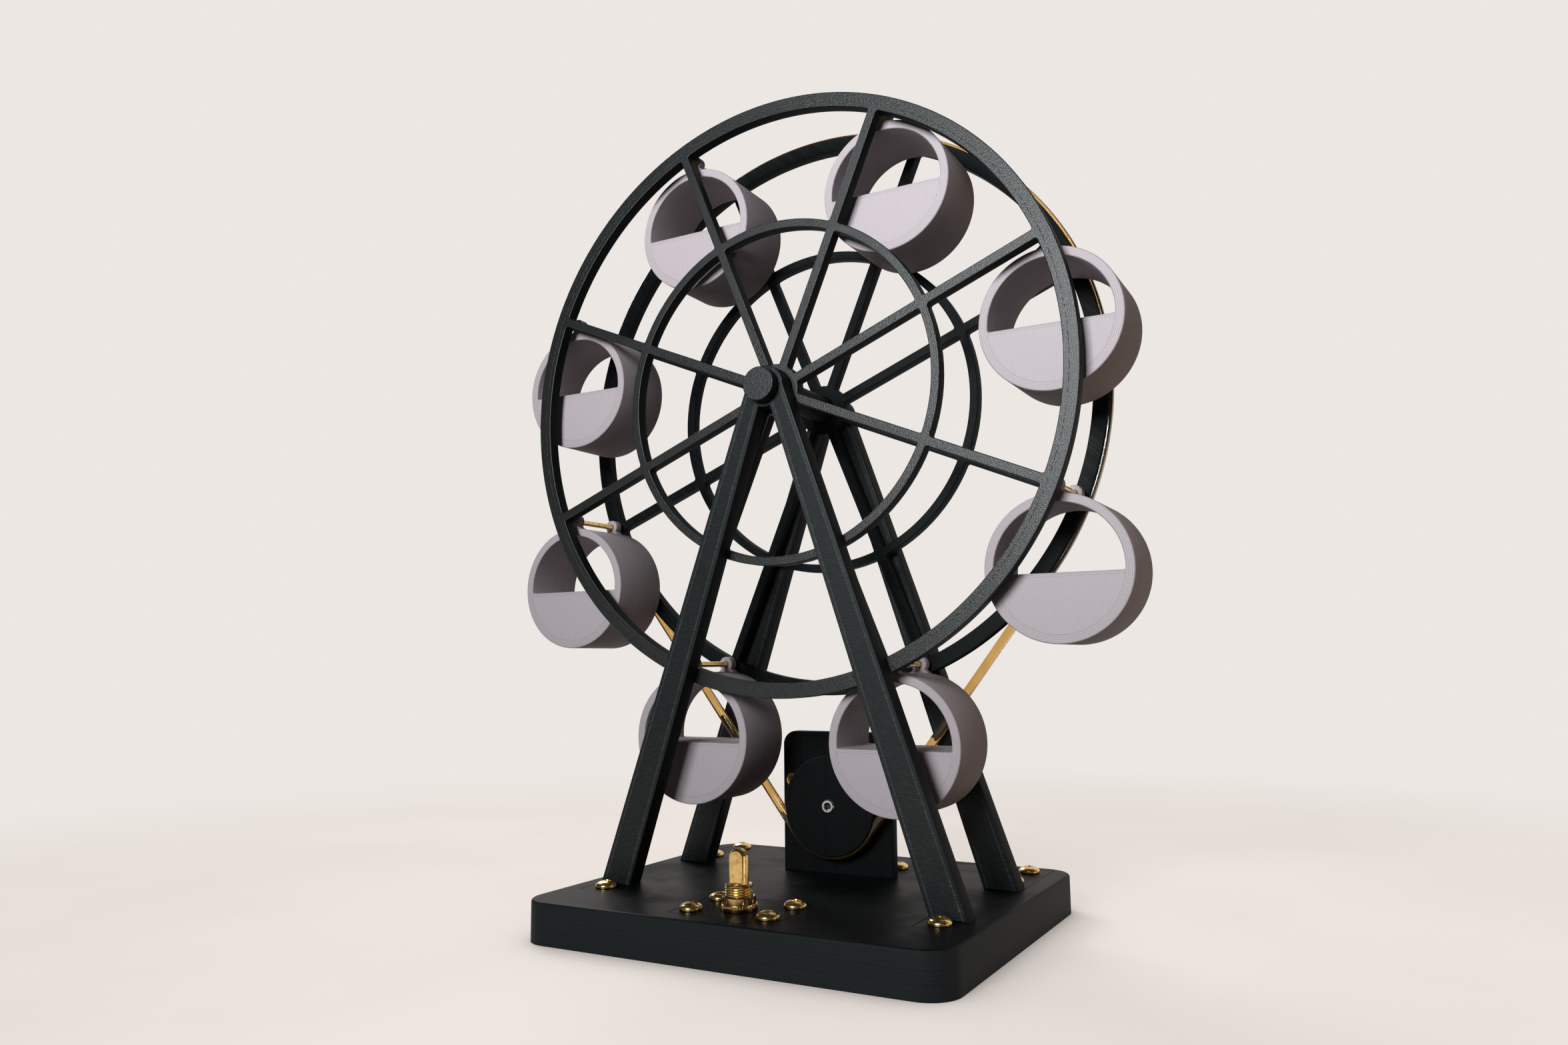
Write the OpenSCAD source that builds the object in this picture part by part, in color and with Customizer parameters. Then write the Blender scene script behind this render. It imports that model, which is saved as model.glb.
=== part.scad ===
// Motor-driven Ferris wheel with eight hanging cabins
// +X right, +Y back, +Z up; the origin is the middle of the base's underside
// The wheels, cabins, pulley and control turn; everything else is fixed to the base

/* [Wheels] */
// Outer radius of both wheels
wheel_r = 105; // [95:0.5:120]
// Thickness of each wheel
wheel_t = 4.5; // [3.8:0.1:6]
// Space between the two wheels' inner faces
wheel_gap = 31.6; // [28:0.2:45]
// Radial width of the rim
rim_w = 5.1; // [4.4:0.1:8]
// Outer radius of the inner ring
inner_ring_r = 60.5; // [45:0.5:75]
// Radial width of the inner ring
inner_ring_w = 3; // [2:0.1:6]
// Width of a spoke
spoke_w = 3.2; // [2:0.1:6]
// Angle of the first spoke above the +X axis
spoke_turn = 22; // [0:0.5:44]
// Radius of the solid hub
hub_r = 9.2; // [8:0.1:14]

/* [Axle] */
// Diameter of the axle
axle_d = 9.6; // [8:0.1:10.4]
// Width of the axle's head beyond the axle
axle_lip = 1.05; // [0.8:0.05:2]
// Thickness of the axle's head
axle_head_t = 3.9; // [2:0.1:6]
// Diameter of the axle's reduced rear end
axle_tail_d = 6; // [4:0.1:7]
// Diameter of the cap on the rear end
axle_clip_d = 13; // [11.5:0.1:15]
// Length of the cap on the rear end
axle_clip_t = 4; // [3:0.1:6]
// Thickness of the cap's closed end
axle_clip_end = 0.6; // [0.4:0.1:1.5]

/* [Rods and cabins] */
// Diameter of a rod
rod_d = 2; // [1.6:0.1:2.4]
// Thickness left at the end of a rod's hole in the rim
rod_floor = 1.1; // [0.6:0.1:1.8]
// Outer diameter of a cabin
cabin_d = 46; // [36:0.5:54]
// Thickness of a cabin's upper wall
cabin_wall = 2.95; // [2:0.05:5]
// Space between a cabin and each wheel
cabin_gap = 3.1; // [2.4:0.1:5]
// Drop of the window's sill below the cabin's middle
sill_drop = 1.45; // [0:0.05:5]
// Corner radius of the window
window_r = 1.2; // [0.4:0.1:3]
// Radius of a lug's eye
lug_r = 2.7; // [2.3:0.1:4]
// Thickness of a lug
lug_t = 3.4; // [2:0.1:5]
// Height of the rod's axis above the top of the cabin
lug_rise = 2.75; // [2.3:0.05:5]
// Half width of a lug's flared foot
lug_foot = 3.6; // [3:0.1:6]
// Overhang of the rear lug behind the cabin
lug_overhang = 1.4; // [0.5:0.1:1.8]

/* [Frames] */
// Thickness of an A-frame
frame_t = 6.5; // [4:0.1:10]
// Radius of the boss round the axle
boss_r = 7.2; // [6.6:0.1:10]
// Width of a leg where it meets the base
foot_w = 12.3; // [9:0.1:16]
// Distance from a leg's outer edge to the side of the base
foot_inset = 6.7; // [4.5:0.1:12]
// Width of a foot tab inside its leg
tab_step = 1; // [0.4:0.1:3]
// Length of a front foot tab
front_tab = 11.2; // [9:0.1:16]
// Length of a rear foot tab
rear_tab = 16; // [9:0.1:20]

/* [Base] */
// Width of the base
base_w = 148; // [136:1:180]
// Depth of the base
base_d = 128; // [112:1:160]
// Corner radius of the base
base_r = 10; // [5:0.5:14]
// Thickness of the base's side walls
base_wall = 2.4; // [1.6:0.1:3.2]
// Thickness of the base's top
top_t = 4; // [3.4:0.1:6]
// Depth of the recesses in the top, and thickness of what lies in them
recess = 2.4; // [1.6:0.1:2.6]
// Thickness of the cover on the underside
cover_t = 1.6; // [1.4:0.1:2.4]
// Clearance of the lowest cabin above the base
cabin_clear = 18.35; // [8:0.05:40]
// Space between the rear foot tabs and the rear strip
strip_gap = 5.2; // [1:0.1:12]
// Distance of the rear strip from the back edge
strip_edge = 4.2; // [3:0.1:6]
// Depth of the rear strip
strip_d = 13.6; // [10:0.1:15]
// Distance of the rear strip's ends from the sides of the base
strip_end = 7; // [5:0.1:12]
// Gap between the screw bosses in the base and the cover
post_gap = 1; // [0.4:0.1:2]

/* [Drive] */
// Radius of the pulley
pulley_r = 17.6; // [12:0.1:22]
// Thickness of each of the pulley's lips
pulley_lip = 0.6; // [0.4:0.1:1]
// Clearance of the pulley above the base
pulley_clear = 7; // [3:0.1:16]
// Depth of the band groove in the pulley and in the rear rim
groove_depth = 1.9; // [1.2:0.1:2.2]
// Slope of the groove's sides, measured across the groove
groove_bevel = 0.2; // [0:0.05:0.3]
// Thickness of the rubber band
belt_t = 2.8; // [1.2:0.1:3.2]
// Width of the rubber band
belt_w = 2.8; // [1.6:0.1:3]
// Diameter of the motor's shaft
shaft_d = 5; // [3:0.1:6]
// Stand of the shaft in front of the pulley
shaft_proud = 0.75; // [0.2:0.05:1]
// Diameter of the motor's can
can_d = 28; // [24:0.5:32]
// Length of the motor's can
can_l = 19; // [14:0.5:24]
// Distance of the shaft's axis from the lowest side of the can
shaft_edge = 6; // [5:0.1:9]
// Diameter of the motor's front boss
motor_boss_d = 9; // [8:0.1:11]
// Distance of a motor screw from the side of the can
ear_stand = 3.5; // [2.5:0.1:6]
// Radius of a motor ear
ear_r = 3.5; // [2.5:0.1:4]
// Thickness of a motor ear
ear_t = 1; // [0.6:0.1:2]
// Thickness of the motor bracket
bracket_t = 4; // [2.4:0.1:6]
// Gap between the pulley and the heads of the motor screws
head_gap = 0.55; // [0.3:0.05:3]
// Width of the bracket beyond each motor screw
bracket_side = 4.3; // [3.8:0.1:8]
// Height of the bracket above the can
bracket_top = 3.7; // [1:0.1:8]
// Corner radius of the bracket
bracket_r = 5; // [2:0.1:8]
// Width of the bracket's foot inside the upright, on each side
bracket_step = 1.3; // [0.5:0.1:3]
// Distance of the foot's screws from its sides
bracket_screw_side = 5.5; // [4:0.1:9]
// Distance of the foot's screws from its rear edge
bracket_screw_back = 6; // [4.6:0.1:9]

/* [Control] */
// Width of the control plate
plate_w = 37.4; // [35:0.1:44]
// Depth of the control plate
plate_d = 28.6; // [26.5:0.1:34]
// Distance of the control plate from the front edge of the base
plate_edge = 7; // [4:0.1:10]
// Sideways place of the control plate
plate_x = -1.4; // [-6:0.1:6]
// Distance of the plate's screws from its ends
plate_screw_end = 4.95; // [4:0.05:6]
// Distance of the plate's screws from its front and back
plate_screw_edge = 5.8; // [4:0.1:7]
// Place of the control behind the middle of the plate
control_shift = -2.3; // [-4:0.1:4]
// Diameter of the control's body
control_d = 16; // [13:0.1:17]
// Space between the control's body and the base round it
window_gap = 2; // [0.5:0.1:2.5]
// Wall of the threaded neck round the shaft
neck_wall = 1.35; // [0.8:0.05:2]
// Height of the neck above the base
neck_h = 8.1; // [6:0.1:12]
// Width of the nut's collar beyond the neck
collar_w = 0.8; // [0.5:0.05:2]
// Width of the knurled nut beyond its collar
nut_step = 0.5; // [0.4:0.05:2]
// Height of the knurled nut
nut_h = 2.2; // [1.4:0.1:3]
// Height of the nut's collar
collar_h = 2.3; // [1:0.1:2.6]
// Depth of the nut's knurling
knurl_depth = 0.35; // [0.1:0.05:0.4]
// Diameter of the control's shaft
knob_d = 6.1; // [5:0.1:6.8]
// Length of the control's shaft above the neck
knob_l = 10.7; // [6:0.1:16]
// Height of the shaft's rounded end
knob_dome = 2.4; // [0.6:0.1:2.5]
// Distance of the shaft's flat from its axis
flat_in = 2.15; // [1:0.05:2.5]
// Length of the shaft's flat
flat_l = 9; // [5:0.1:9.5]
// Turn of the shaft's flat from the front
flat_turn = -3; // [-90:1:90]

/* [Inside the base] */
// Width of the battery pack
battery_w = 60; // [40:1:62]
// Depth of the battery pack
battery_d = 36; // [20:1:40]
// Height of the battery pack
battery_h = 6; // [4:0.1:12]
// Free height above the battery pack
room_gap = 1.8; // [1:0.1:6]
// Width of the driver board
board_w = 35; // [20:1:40]
// Depth of the driver board
board_d = 40; // [20:1:44]
// Thickness of the driver board
board_t = 1.6; // [1:0.1:2]
// Width of the chips on the board
chip_w = 11.5; // [6:0.5:16]
// Height of the chips on the board
chip_h = 2.2; // [1:0.1:3]
// Space between the battery pack and the board
inside_gap = 5; // [2:0.5:8]
// Sideways place of that space
inside_x = 12.5; // [8:0.5:16]

/* [Screws] */
// Diameter of a pan head
head_d = 7.3; // [6:0.1:7.6]
// Height of a pan head
head_h = 2.4; // [1.6:0.1:3]
// Diameter of a motor screw's head
small_head_d = 5.5; // [4.6:0.1:6]
// Height of a motor screw's head
small_head_h = 1.7; // [1:0.1:1.8]
// Diameter of every screw's shank
screw_d = 3; // [2:0.1:3.4]
// Length of a screw below its head
screw_l = 8; // [6:0.1:9]
// Width of the arms of a cross recess
slot_w = 1; // [0.6:0.1:1.4]
// Length of the arms of a cross recess
slot_l = 3.8; // [3:0.1:4.2]
// Depth of a cross recess
slot_depth = 1.1; // [0.6:0.1:1.4]
// Thickness of the cover above a countersunk head
flat_floor = 0.3; // [0.1:0.05:0.6]
// Diameter of a countersunk head
flat_head_d = 5.6; // [4.6:0.1:6.5]
// Diameter of a screw boss inside the base
post_d = 7; // [5.6:0.1:8]
// Distance of a cover screw from the sides of the base
cover_screw_in = 29; // [24:0.5:36]
// Distance of a cover screw from the front and back of the base
cover_screw_edge = 12; // [9:0.5:14]

/* [Clearances] */
// Gap between a turning wheel and a frame
run_gap = 0.6; // [0.3:0.05:1.5]
// Gap between the axle's ends and the frames
end_gap = 0.3; // [0.2:0.05:1]
// Radial clearance of a bearing
bearing_fit = 0.08; // [0.02:0.01:0.1]
// Radial clearance of a pressed or screwed fit
press_fit = 0.02; // [0.01:0.01:0.03]
// Radial clearance of a through hole for a screw or a boss
hole_fit = 0.2; // [0.1:0.05:0.4]
// Clearance round a piece let into the base
seat_fit = 0.12; // [0.05:0.01:0.3]
// Gap between the rubber band and the floor of its groove
belt_fit = 0.2; // [0.1:0.05:0.4]
// Gap between the rubber band and each side of its groove
belt_side = 0.1; // [0.05:0.05:0.3]

/* [Hidden] */
$fn = 96;
seats = 8;
over = 1;
seat_pitch = 360 / seats;
knurl_count = 32;

// Heights
base_room = battery_h + room_gap;
base_h = cover_t + base_room + top_t;
seat_z = base_h - recess;
roof_z = base_h - top_t;
rod_circle = wheel_r - (rim_w + groove_depth) / 2;
cabin_drop = cabin_d / 2 + lug_rise;
axle_z = base_h + cabin_clear + cabin_d / 2 + cabin_drop + rod_circle;
pulley_z = base_h + pulley_clear + pulley_r;
can_z = pulley_z - shaft_edge + can_d / 2;
bracket_z = can_z + can_d / 2 + bracket_top;

// Depths, worked outwards from the middle plane of the wheels
groove_w = belt_w + 2 * (belt_side + groove_bevel);
pulley_t = groove_w + 2 * pulley_lip;
wheel_in = wheel_gap / 2;
wheel_out = wheel_in + wheel_t;
frame_in = wheel_out + run_gap;
frame_out = frame_in + frame_t;
mid_y = base_d / 2 - (frame_out + rear_tab + strip_gap + strip_d + strip_edge);
rear_mid_y = mid_y + wheel_in + wheel_t / 2;
rod_seat = wheel_t - rod_floor;
cabin_t = wheel_gap - 2 * cabin_gap;
bracket_y = rear_mid_y + pulley_t / 2 + head_gap + small_head_h;
motor_y = bracket_y + bracket_t;
strip_back = base_d / 2 - strip_edge;
strip_front = strip_back - strip_d;
plate_y = -base_d / 2 + plate_edge + plate_d / 2;
control_y = plate_y + control_shift;

// Widths
axle_head_d = axle_d + 2 * axle_lip;
neck_d = knob_d + 2 * neck_wall;
collar_d = neck_d + 2 * collar_w;
nut_d = collar_d + 2 * nut_step;
ear_pitch = can_d + 2 * ear_stand;

// Places of the feet and screws
foot_out = base_w / 2 - foot_inset;
foot_in = foot_out - foot_w - tab_step;
foot_x = (foot_out + foot_in) / 2;
front_tab_y = mid_y - frame_out - front_tab;
rear_tab_y = mid_y + frame_out + rear_tab;
strip_x = base_w / 2 - strip_end;
strip_screw_x = strip_x - strip_d / 2;
bracket_half = ear_pitch / 2 + bracket_side;
bracket_foot = bracket_half - bracket_step;
bracket_back = strip_front - seat_fit * 2;

foot_screw_at = [for (sx = [-1, 1], y = [front_tab_y + front_tab / 2, rear_tab_y - rear_tab / 2])
    [sx * foot_x, y]];
strip_screw_at = [for (sx = [-1, 1]) [sx * strip_screw_x, (strip_front + strip_back) / 2]];
bracket_screw_at = [for (sx = [-1, 1])
    [sx * (bracket_foot - bracket_screw_side), bracket_back - bracket_screw_back]];
plate_screw_at = [for (sx = [-1, 1], sy = [-1, 1])
    [plate_x + sx * (plate_w / 2 - plate_screw_end), plate_y + sy * (plate_d / 2 - plate_screw_edge)]];
cover_screw_at = [for (sx = [-1, 1], sy = [-1, 1])
    [sx * (base_w / 2 - cover_screw_in), sy * (base_d / 2 - cover_screw_edge)]];
motor_screw_at = [for (sx = [-1, 1]) [sx * ear_pitch / 2, can_z]];
top_screw_at = concat(foot_screw_at, strip_screw_at, bracket_screw_at, plate_screw_at);

// The band's two turns and the slope of its straight runs
belt_wheel_r = wheel_r - groove_depth + belt_fit;
belt_pulley_r = pulley_r - groove_depth + belt_fit;
belt_sine = (belt_pulley_r - belt_wheel_r) / (axle_z - pulley_z);
belt_cosine = sqrt(1 - belt_sine * belt_sine);

charcoal = [0.12, 0.13, 0.14];
lilac = [0.78, 0.75, 0.78];
gold = [0.80, 0.62, 0.30];
amber = [0.84, 0.63, 0.32];
steel = [0.72, 0.73, 0.75];
board_green = [0.10, 0.32, 0.20];
wrap_blue = [0.16, 0.27, 0.52];

// Shared shapes

// Flat outline drawn in X and Z, given a thickness along Y from y0 to y1
module upright(y0, y1) {
    translate([0, y1, 0]) rotate([90, 0, 0]) linear_extrude(y1 - y0) children();
}

// Cylinder along Y from y0 to y1
module bar(d, y0, y1) {
    translate([0, y0, 0]) rotate([-90, 0, 0]) cylinder(d = d, h = y1 - y0);
}

// Rectangle with round corners
module rounded(w, d, r) {
    square([w - 2 * r, d], center = true);
    square([w, d - 2 * r], center = true);
    for (sx = [-1, 1], sy = [-1, 1]) translate([sx * (w / 2 - r), sy * (d / 2 - r)]) circle(r);
}

// Ring between two radii
module ring(r_out, r_in) {
    difference() {
        circle(r_out);
        circle(r_in);
    }
}

module at_each(places) {
    for (p = places) translate([p[0], p[1], 0]) children();
}

// Places its children on the axis of rod i
module at_rod(i) {
    a = spoke_turn + (i - 1) * seat_pitch;
    translate([rod_circle * cos(a), mid_y, axle_z + rod_circle * sin(a)]) children();
}

// Cross recess of a screw, cut down from the origin
module cross_slot() {
    for (a = [0, 90]) rotate(a) translate([-slot_l / 2, -slot_w / 2, -slot_depth])
        cube([slot_l, slot_w, slot_depth + over]);
}

// Domed screw head on a shank, seated at the origin with its head up
module pan_screw(d, h, shank) {
    dome_r = (d * d / 4 + h * h) / (2 * h);
    difference() {
        union() {
            intersection() {
                translate([0, 0, h - dome_r]) sphere(dome_r);
                cylinder(d = d, h = h);
            }
            translate([0, 0, -shank]) cylinder(d = screw_d, h = shank + h / 2);
        }
        translate([0, 0, h]) cross_slot();
    }
}

// Base

module foot_cut(y0, y1) {
    for (sx = [-1, 1]) translate([sx * foot_x, (y0 + y1) / 2])
        square([foot_out - foot_in + 2 * seat_fit, y1 - y0 + 2 * seat_fit], center = true);
}

// Outline of every recess in the top of the base
module recess_outline() {
    foot_cut(front_tab_y, mid_y - frame_in);
    foot_cut(mid_y + frame_in, rear_tab_y);
    strip_outline(seat_fit);
    plate_outline(seat_fit);
    bracket_outline(seat_fit);
}

module strip_outline(grow) {
    translate([-strip_x - grow, strip_front - grow])
        square([2 * strip_x + 2 * grow, strip_d + 2 * grow]);
}

module plate_outline(grow) {
    translate([plate_x, plate_y]) square([plate_w + 2 * grow, plate_d + 2 * grow], center = true);
}

module bracket_outline(grow) {
    translate([-bracket_foot - grow, bracket_y - grow])
        square([2 * bracket_foot + 2 * grow, bracket_back - bracket_y + 2 * grow]);
}

module base_shell() {
    color(charcoal) difference() {
        union() {
            difference() {
                linear_extrude(base_h) rounded(base_w, base_d, base_r);
                translate([0, 0, -over]) linear_extrude(roof_z + over)
                    rounded(base_w - 2 * base_wall, base_d - 2 * base_wall, base_r - base_wall);
            }
            at_each(top_screw_at) translate([0, 0, cover_t + post_gap])
                cylinder(d = post_d, h = roof_z - cover_t - post_gap + over / 2);
            at_each(cover_screw_at) translate([0, 0, cover_t])
                cylinder(d = post_d, h = roof_z - cover_t + over / 2);
        }
        translate([0, 0, seat_z]) linear_extrude(recess + over) recess_outline();
        translate([plate_x, control_y, roof_z - over]) linear_extrude(top_t + over)
            square(control_d + 2 * window_gap, center = true);
        at_each(top_screw_at) translate([0, 0, base_h - screw_l - over])
            cylinder(d = screw_d + 2 * press_fit, h = screw_l + over);
        at_each(cover_screw_at) cylinder(d = screw_d + 2 * press_fit, h = roof_z - post_gap / 2);
    }
}

module base_cover() {
    inset = base_wall + seat_fit;
    color(charcoal) difference() {
        linear_extrude(cover_t) rounded(base_w - 2 * inset, base_d - 2 * inset, base_r - inset);
        at_each(cover_screw_at) flat_screw(hole_fit, over);
    }
}

// Countersunk screw with its flat head at the origin and its shank up
module flat_screw(grow, extra) {
    cylinder(d1 = flat_head_d + 2 * grow, d2 = screw_d + 2 * grow, h = cover_t - flat_floor);
    translate([0, 0, -extra]) cylinder(d = screw_d + 2 * grow, h = roof_z - post_gap + extra);
}

module rear_strip() {
    color(charcoal) difference() {
        translate([0, 0, seat_z]) linear_extrude(recess) strip_outline(0);
        at_each(strip_screw_at) cylinder(d = screw_d + 2 * hole_fit, h = base_h + over);
    }
}

module control_plate() {
    color(charcoal) difference() {
        translate([0, 0, seat_z]) linear_extrude(recess) plate_outline(0);
        at_each(plate_screw_at) cylinder(d = screw_d + 2 * hole_fit, h = base_h + over);
        translate([plate_x, control_y, 0]) cylinder(d = neck_d + 2 * hole_fit, h = base_h + over);
    }
}

// Frames

// One straight leg from the base to the axle, on the +X side
module leg_outline() {
    polygon([[foot_out, base_h], [foot_out - foot_w, base_h], [0, axle_z], [boss_r, axle_z]]);
}

// A-frame between y0 and y1, with flush tabs that reach to tab_y
module a_frame(y0, y1, tab_y) {
    pad_front = min(y0, tab_y);
    pad_back = max(y1, tab_y);
    color(charcoal) difference() {
        union() {
            upright(y0, y1) {
                for (m = [0, 1]) mirror([m, 0]) leg_outline();
                translate([0, axle_z]) circle(boss_r);
            }
            for (m = [0, 1]) mirror([m, 0, 0]) translate([foot_in, pad_front, seat_z])
                cube([foot_out - foot_in, pad_back - pad_front, recess]);
        }
        translate([0, 0, axle_z]) bar(axle_d + 2 * bearing_fit, y0 - over, y1 + over);
        at_each(foot_screw_at) cylinder(d = screw_d + 2 * hole_fit, h = base_h + over);
    }
}

module front_frame() {
    a_frame(mid_y - frame_out, mid_y - frame_in, front_tab_y);
}

module rear_frame() {
    a_frame(mid_y + frame_in, mid_y + frame_out, rear_tab_y);
}

// Wheels

module wheel_outline() {
    ring(wheel_r, wheel_r - rim_w);
    ring(inner_ring_r, inner_ring_r - inner_ring_w);
    circle(hub_r);
    for (i = [0:seats - 1]) rotate(spoke_turn + i * seat_pitch) translate([0, -spoke_w / 2])
        square([wheel_r - rim_w / 2, spoke_w]);
}

// Wheel between y0 and y1, with rod holes that open at the inner face seat_y
module wheel(y0, y1, seat_y) {
    difference() {
        translate([0, 0, axle_z]) upright(y0, y1) wheel_outline();
        translate([0, 0, axle_z]) bar(axle_d + 2 * press_fit, y0 - over, y1 + over);
        for (i = [1:seats]) at_rod(i) translate([0, seat_y, 0])
            bar(rod_d + 2 * press_fit, -rod_seat, rod_seat);
    }
}

module front_wheel() {
    color(charcoal) wheel(mid_y - wheel_out, mid_y - wheel_in, -wheel_in);
}

module rear_wheel() {
    color(charcoal) difference() {
        wheel(mid_y + wheel_in, mid_y + wheel_out, wheel_in);
        translate([0, rear_mid_y, axle_z]) band_groove(wheel_r);
    }
}

// Groove for the band round a disc of radius r, with sloping sides
module band_groove(r) {
    floor_half = groove_w / 2 - groove_bevel;
    rotate([90, 0, 0]) rotate_extrude() polygon([[r - groove_depth, -floor_half],
        [r, -groove_w / 2], [r + over, -groove_w / 2], [r + over, groove_w / 2], [r, groove_w / 2],
        [r - groove_depth, floor_half]]);
}

module axle() {
    shoulder = mid_y + frame_out + end_gap;
    head_back = mid_y - frame_out - end_gap;
    color(charcoal) translate([0, 0, axle_z]) {
        bar(axle_head_d, head_back - axle_head_t, head_back);
        bar(axle_d, head_back - over / 2, shoulder);
        bar(axle_tail_d, shoulder - over, shoulder + axle_clip_t - axle_clip_end);
    }
}

module axle_clip() {
    front = mid_y + frame_out + end_gap;
    color(charcoal) translate([0, front, axle_z]) difference() {
        bar(axle_clip_d, 0, axle_clip_t);
        bar(axle_tail_d + 2 * press_fit, -over, axle_clip_t - axle_clip_end);
    }
}

module rod(i) {
    half = wheel_in + rod_seat;
    color(gold) at_rod(i) bar(rod_d, -half, half);
}

// Cabins

// Upper window of a cabin, a round segment with rounded lower corners
module window_outline() {
    r = cabin_d / 2 - cabin_wall;
    corner_z = window_r - sill_drop;
    corner_x = sqrt(pow(r - window_r, 2) - pow(corner_z, 2));
    touch = r / (r - window_r);
    difference() {
        circle(r);
        translate([-r - over, -r - over - sill_drop]) square([2 * (r + over), r + over]);
        for (m = [0, 1]) mirror([m, 0]) difference() {
            polygon([[corner_x, corner_z], [corner_x, -sill_drop - over], [r + over, -sill_drop - over],
                [r + over, corner_z * touch], [corner_x * touch, corner_z * touch]]);
            translate([corner_x, corner_z]) circle(window_r);
        }
    }
}

// Eye round the rod with a foot that flares onto the cabin
module lug_outline() {
    foot_z = sqrt(pow(cabin_d / 2, 2) - pow(lug_foot, 2)) - cabin_drop;
    difference() {
        union() {
            circle(lug_r);
            polygon([[-lug_r, 0], [lug_r, 0], [lug_r, -lug_r / 2], [lug_foot, foot_z],
                [lug_foot, foot_z - cabin_wall / 2], [-lug_foot, foot_z - cabin_wall / 2],
                [-lug_foot, foot_z], [-lug_r, -lug_r / 2]]);
        }
        circle(d = rod_d + 2 * bearing_fit);
    }
}

module cabin(i) {
    half = cabin_t / 2;
    rear_lug = half + lug_overhang;
    color(lilac) at_rod(i) {
        translate([0, 0, -cabin_drop]) upright(-half, half) difference() {
            circle(d = cabin_d);
            window_outline();
        }
        upright(-half, lug_t - half) lug_outline();
        upright(rear_lug - lug_t, rear_lug) lug_outline();
    }
}

// Drive

// Outline of the band's path, grown outwards
module belt_outline(grow) {
    wheel_turn = belt_wheel_r + grow;
    pulley_turn = belt_pulley_r + grow;
    translate([0, axle_z]) circle(wheel_turn);
    translate([0, pulley_z]) circle(pulley_turn);
    polygon([for (end = [[1, axle_z, wheel_turn], [1, pulley_z, pulley_turn],
            [-1, pulley_z, pulley_turn], [-1, axle_z, wheel_turn]])
        [end[0] * end[2] * belt_cosine, end[1] + end[2] * belt_sine]]);
}

module belt() {
    color(amber) upright(rear_mid_y - belt_w / 2, rear_mid_y + belt_w / 2) difference() {
        belt_outline(belt_t);
        belt_outline(0);
    }
}

module pulley() {
    color(charcoal) translate([0, rear_mid_y, pulley_z]) difference() {
        bar(2 * pulley_r, -pulley_t / 2, pulley_t / 2);
        band_groove(pulley_r);
        bar(shaft_d + 2 * press_fit, -pulley_t, pulley_t);
    }
}

module motor_shaft() {
    color(steel) translate([0, 0, pulley_z])
        bar(shaft_d, rear_mid_y - pulley_t / 2 - shaft_proud, motor_y + can_l / 2);
}

module gearmotor() {
    color(steel) difference() {
        union() {
            translate([0, 0, can_z]) bar(can_d, motor_y, motor_y + can_l);
            translate([0, 0, pulley_z]) bar(motor_boss_d, bracket_y, motor_y + ear_t);
            upright(motor_y, motor_y + ear_t) {
                at_each(motor_screw_at) circle(ear_r);
                translate([0, can_z]) square([ear_pitch, 2 * ear_r], center = true);
            }
        }
        translate([0, 0, pulley_z])
            bar(shaft_d + 2 * bearing_fit, bracket_y - over, motor_y + can_l / 2 + end_gap);
        upright(motor_y - over, motor_y + ear_t + over)
            at_each(motor_screw_at) circle(d = screw_d + 2 * press_fit);
    }
}

module motor_bracket() {
    height = bracket_z - base_h;
    color(charcoal) difference() {
        union() {
            upright(bracket_y, motor_y) {
                translate([-bracket_half, base_h]) square([2 * bracket_half, height - bracket_r]);
                translate([bracket_r - bracket_half, base_h])
                    square([2 * (bracket_half - bracket_r), height]);
                for (sx = [-1, 1]) translate([sx * (bracket_half - bracket_r), bracket_z - bracket_r])
                    circle(bracket_r);
            }
            translate([0, 0, seat_z]) linear_extrude(recess) bracket_outline(0);
        }
        at_each(bracket_screw_at) cylinder(d = screw_d + 2 * hole_fit, h = base_h + over);
        upright(bracket_y - over, motor_y + over) {
            translate([0, pulley_z]) circle(d = motor_boss_d + 2 * hole_fit);
            at_each(motor_screw_at) circle(d = screw_d + 2 * hole_fit);
        }
    }
}

// Control

module control_body() {
    floor_z = cover_t + room_gap;
    color(steel) translate([plate_x, control_y, 0]) difference() {
        translate([0, 0, floor_z]) cylinder(d = control_d, h = seat_z - floor_z);
        translate([0, 0, floor_z + room_gap]) cylinder(d = neck_d + 2 * press_fit, h = seat_z);
    }
}

module control_bushing() {
    bottom = cover_t + 2 * room_gap;
    color(gold) translate([plate_x, control_y, 0]) difference() {
        translate([0, 0, bottom]) cylinder(d = neck_d, h = base_h + neck_h - bottom);
        translate([0, 0, bottom + room_gap]) cylinder(d = knob_d + 2 * bearing_fit, h = base_h + neck_h);
    }
}

module control_nut() {
    r = nut_d / 2;
    step = 180 / knurl_count;
    color(gold) translate([plate_x, control_y, base_h]) difference() {
        union() {
            linear_extrude(nut_h) polygon([for (k = [0:2 * knurl_count - 1])
                let (tip = r - (k % 2) * knurl_depth) [tip * cos(k * step), tip * sin(k * step)]]);
            cylinder(d = collar_d, h = nut_h + collar_h);
        }
        translate([0, 0, -over]) cylinder(d = neck_d + 2 * press_fit, h = nut_h + collar_h + 2 * over);
    }
}

module control_shaft() {
    bottom = cover_t + 3 * room_gap + end_gap;
    top = base_h + neck_h + knob_l;
    dome_r = (pow(knob_dome, 2) + pow(knob_d / 2, 2)) / (2 * knob_dome);
    color(gold) translate([plate_x, control_y, 0]) difference() {
        intersection() {
            translate([0, 0, bottom]) cylinder(d = knob_d, h = top - bottom);
            translate([0, 0, top - dome_r]) union() {
                sphere(dome_r);
                translate([0, 0, -top]) cylinder(r = dome_r, h = top);
            }
        }
        rotate(-flat_turn) translate([-knob_d, -flat_in - knob_d, top - flat_l])
            cube([2 * knob_d, knob_d, flat_l + over]);
    }
}

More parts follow.
